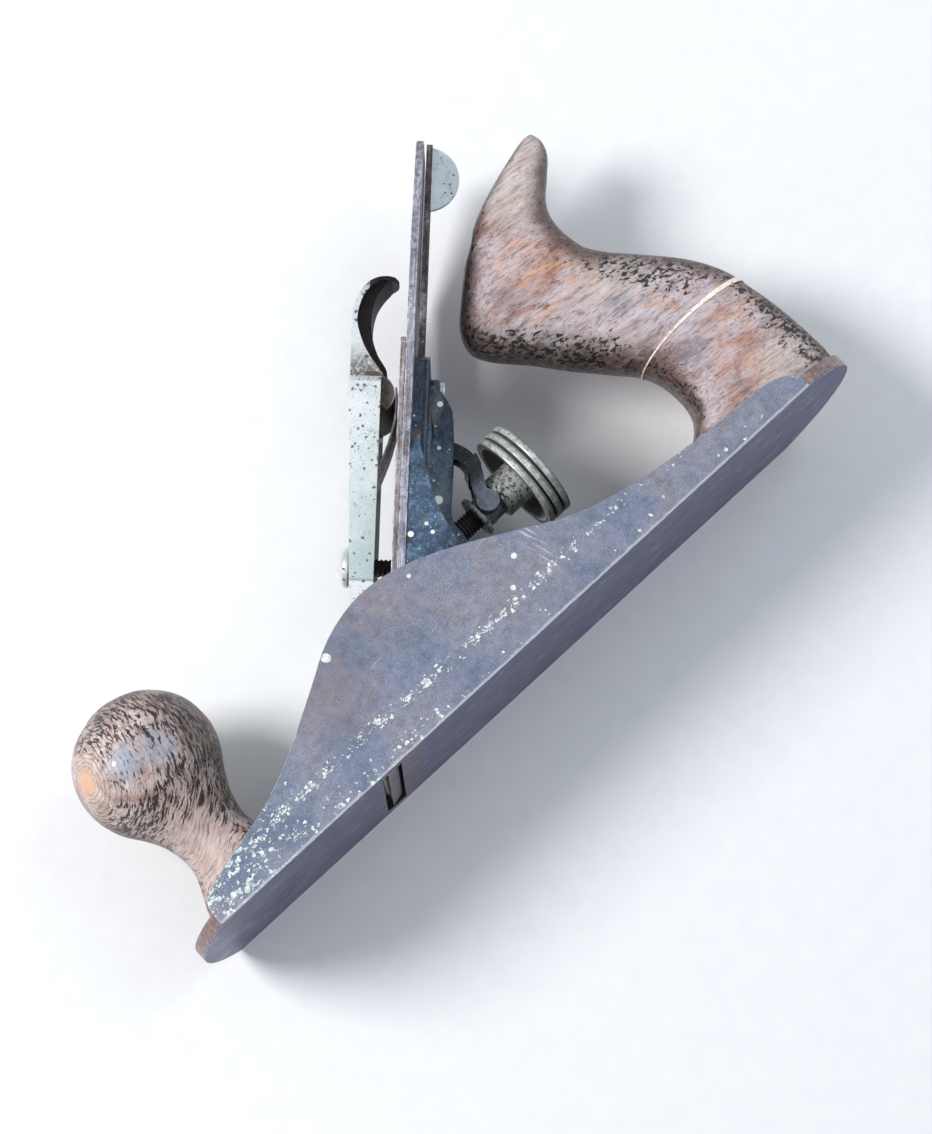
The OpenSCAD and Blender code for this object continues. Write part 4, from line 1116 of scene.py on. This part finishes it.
def lever_screw():
    """A threaded shank and a slotted dome."""
    place = BED @ Matrix.Translation((SCREW_U, 0, 0))
    shank = thread(radius=2.65, depth=0.45, pitch=1.27, low=-9.45, high=17.3, place=place, turn=1.0)
    make("v_lever_screw_shank", shank, "thread", "lever_cap_screw", 60, ())
    dome = [(0, 16.8), (5.3, 16.8), (5.8, 17.1), (5.8, 17.5)]
    turns = [math.radians(d) for d in range(6, 90, 6)]
    dome += [(5.8 * math.cos(a), 17.5 + 2.9 * math.sin(a)) for a in turns]
    bm = cut(lathe(dome + [(0, 20.4)], place, 80), box_mesh((-7, -0.6, 19), (7, 0.6, 22), place))
    make("v_lever_screw_head", bm, "dome", "lever_cap_screw", 30)


lever_screw()

for node in ("knob_bolt", "tote_rod"):
    bevelled(node, "steel", 0.2, angle=40)


# ---- stage, light and camera

def stage():
    """The plane lies on its right cheek on a pale floor. Seen from below, the floor isn't there."""
    me = bpy.data.meshes.new("floor")
    s, y = 3, FLOOR_Y
    me.from_pydata([(-s, y, -s), (-s, y, s), (s, y, s), (s, y, -s)], [], [(0, 1, 2, 3)])
    floor = add_object("floor", me)
    m = Mat("floor_paper", 0, 0.9)
    speckle = m.node("TexNoise", Scale=900, Detail=3).outputs["Fac"]
    m.put(m.bsdf.inputs["Base Color"], m.ramp(speckle, (0, (0.72, 0.725, 0.735)), (1, (0.79, 0.795, 0.8))))
    both = m.node("MixShader", Fac=m.node("NewGeometry").outputs["Backfacing"])
    m.put(both.inputs[1], m.bsdf.outputs[0])
    m.put(both.inputs[2], m.node("BsdfTransparent").outputs[0])
    m.put(m.t.nodes["Material Output"].inputs["Surface"], both.outputs[0])
    me.materials.append(m.m)
    floor.visible_shadow = False


AIM = Vector((0, 0, 0.04))


def light(name, at, size, power, color):
    """A round lamp that looks at the middle of the plane. In metres and watts."""
    data = bpy.data.lights.new(name, "AREA")
    data.shape = "DISK"
    data.size = size
    data.energy = power
    data.color = color
    o = add_object(name, data)
    o.location = at
    o.rotation_euler = (AIM - Vector(at)).to_track_quat("-Z", "Y").to_euler()


stage()
light("key", (0.62, 0.85, 0.62), 0.5, 15.5, (1, 0.99, 0.98))
light("fill", (-0.75, 0.7, -0.1), 0.9, 4, (0.9, 0.95, 1))
light("under", (0.1, -0.95, 0.35), 0.9, 5, (0.95, 0.97, 1))

world = bpy.data.worlds.new("studio")
world.use_nodes = True
sky = world.node_tree.nodes["Background"].inputs
sky["Color"].default_value = (0.8, 0.86, 0.95, 1)
sky["Strength"].default_value = 0.52
bpy.context.scene.world = world
bpy.context.scene.view_settings.view_transform = "Standard"

# The camera's axes and place in the frame, in metres
CAMERA_AT = Vector((0.123, 0.7514, -0.1079))
LENS, SENSOR = 86.57, 36.0
right = Vector((-0.7308, -0.0041, -0.6826)).normalized()
back = Vector((0.1643, 0.9695, -0.1817))
back = (back - right * back.dot(right)).normalized()
up = back.cross(right)
cam_data = bpy.data.cameras.new("camera")
cam_data.sensor_fit = "VERTICAL"
cam_data.sensor_height = SENSOR
cam_data.lens = LENS
cam_data.clip_start = 0.01
cam = add_object("camera", cam_data)
cam.matrix_world = Matrix.Translation(CAMERA_AT) @ Matrix((right, up, back)).transposed().to_4x4()
bpy.context.scene.camera = cam
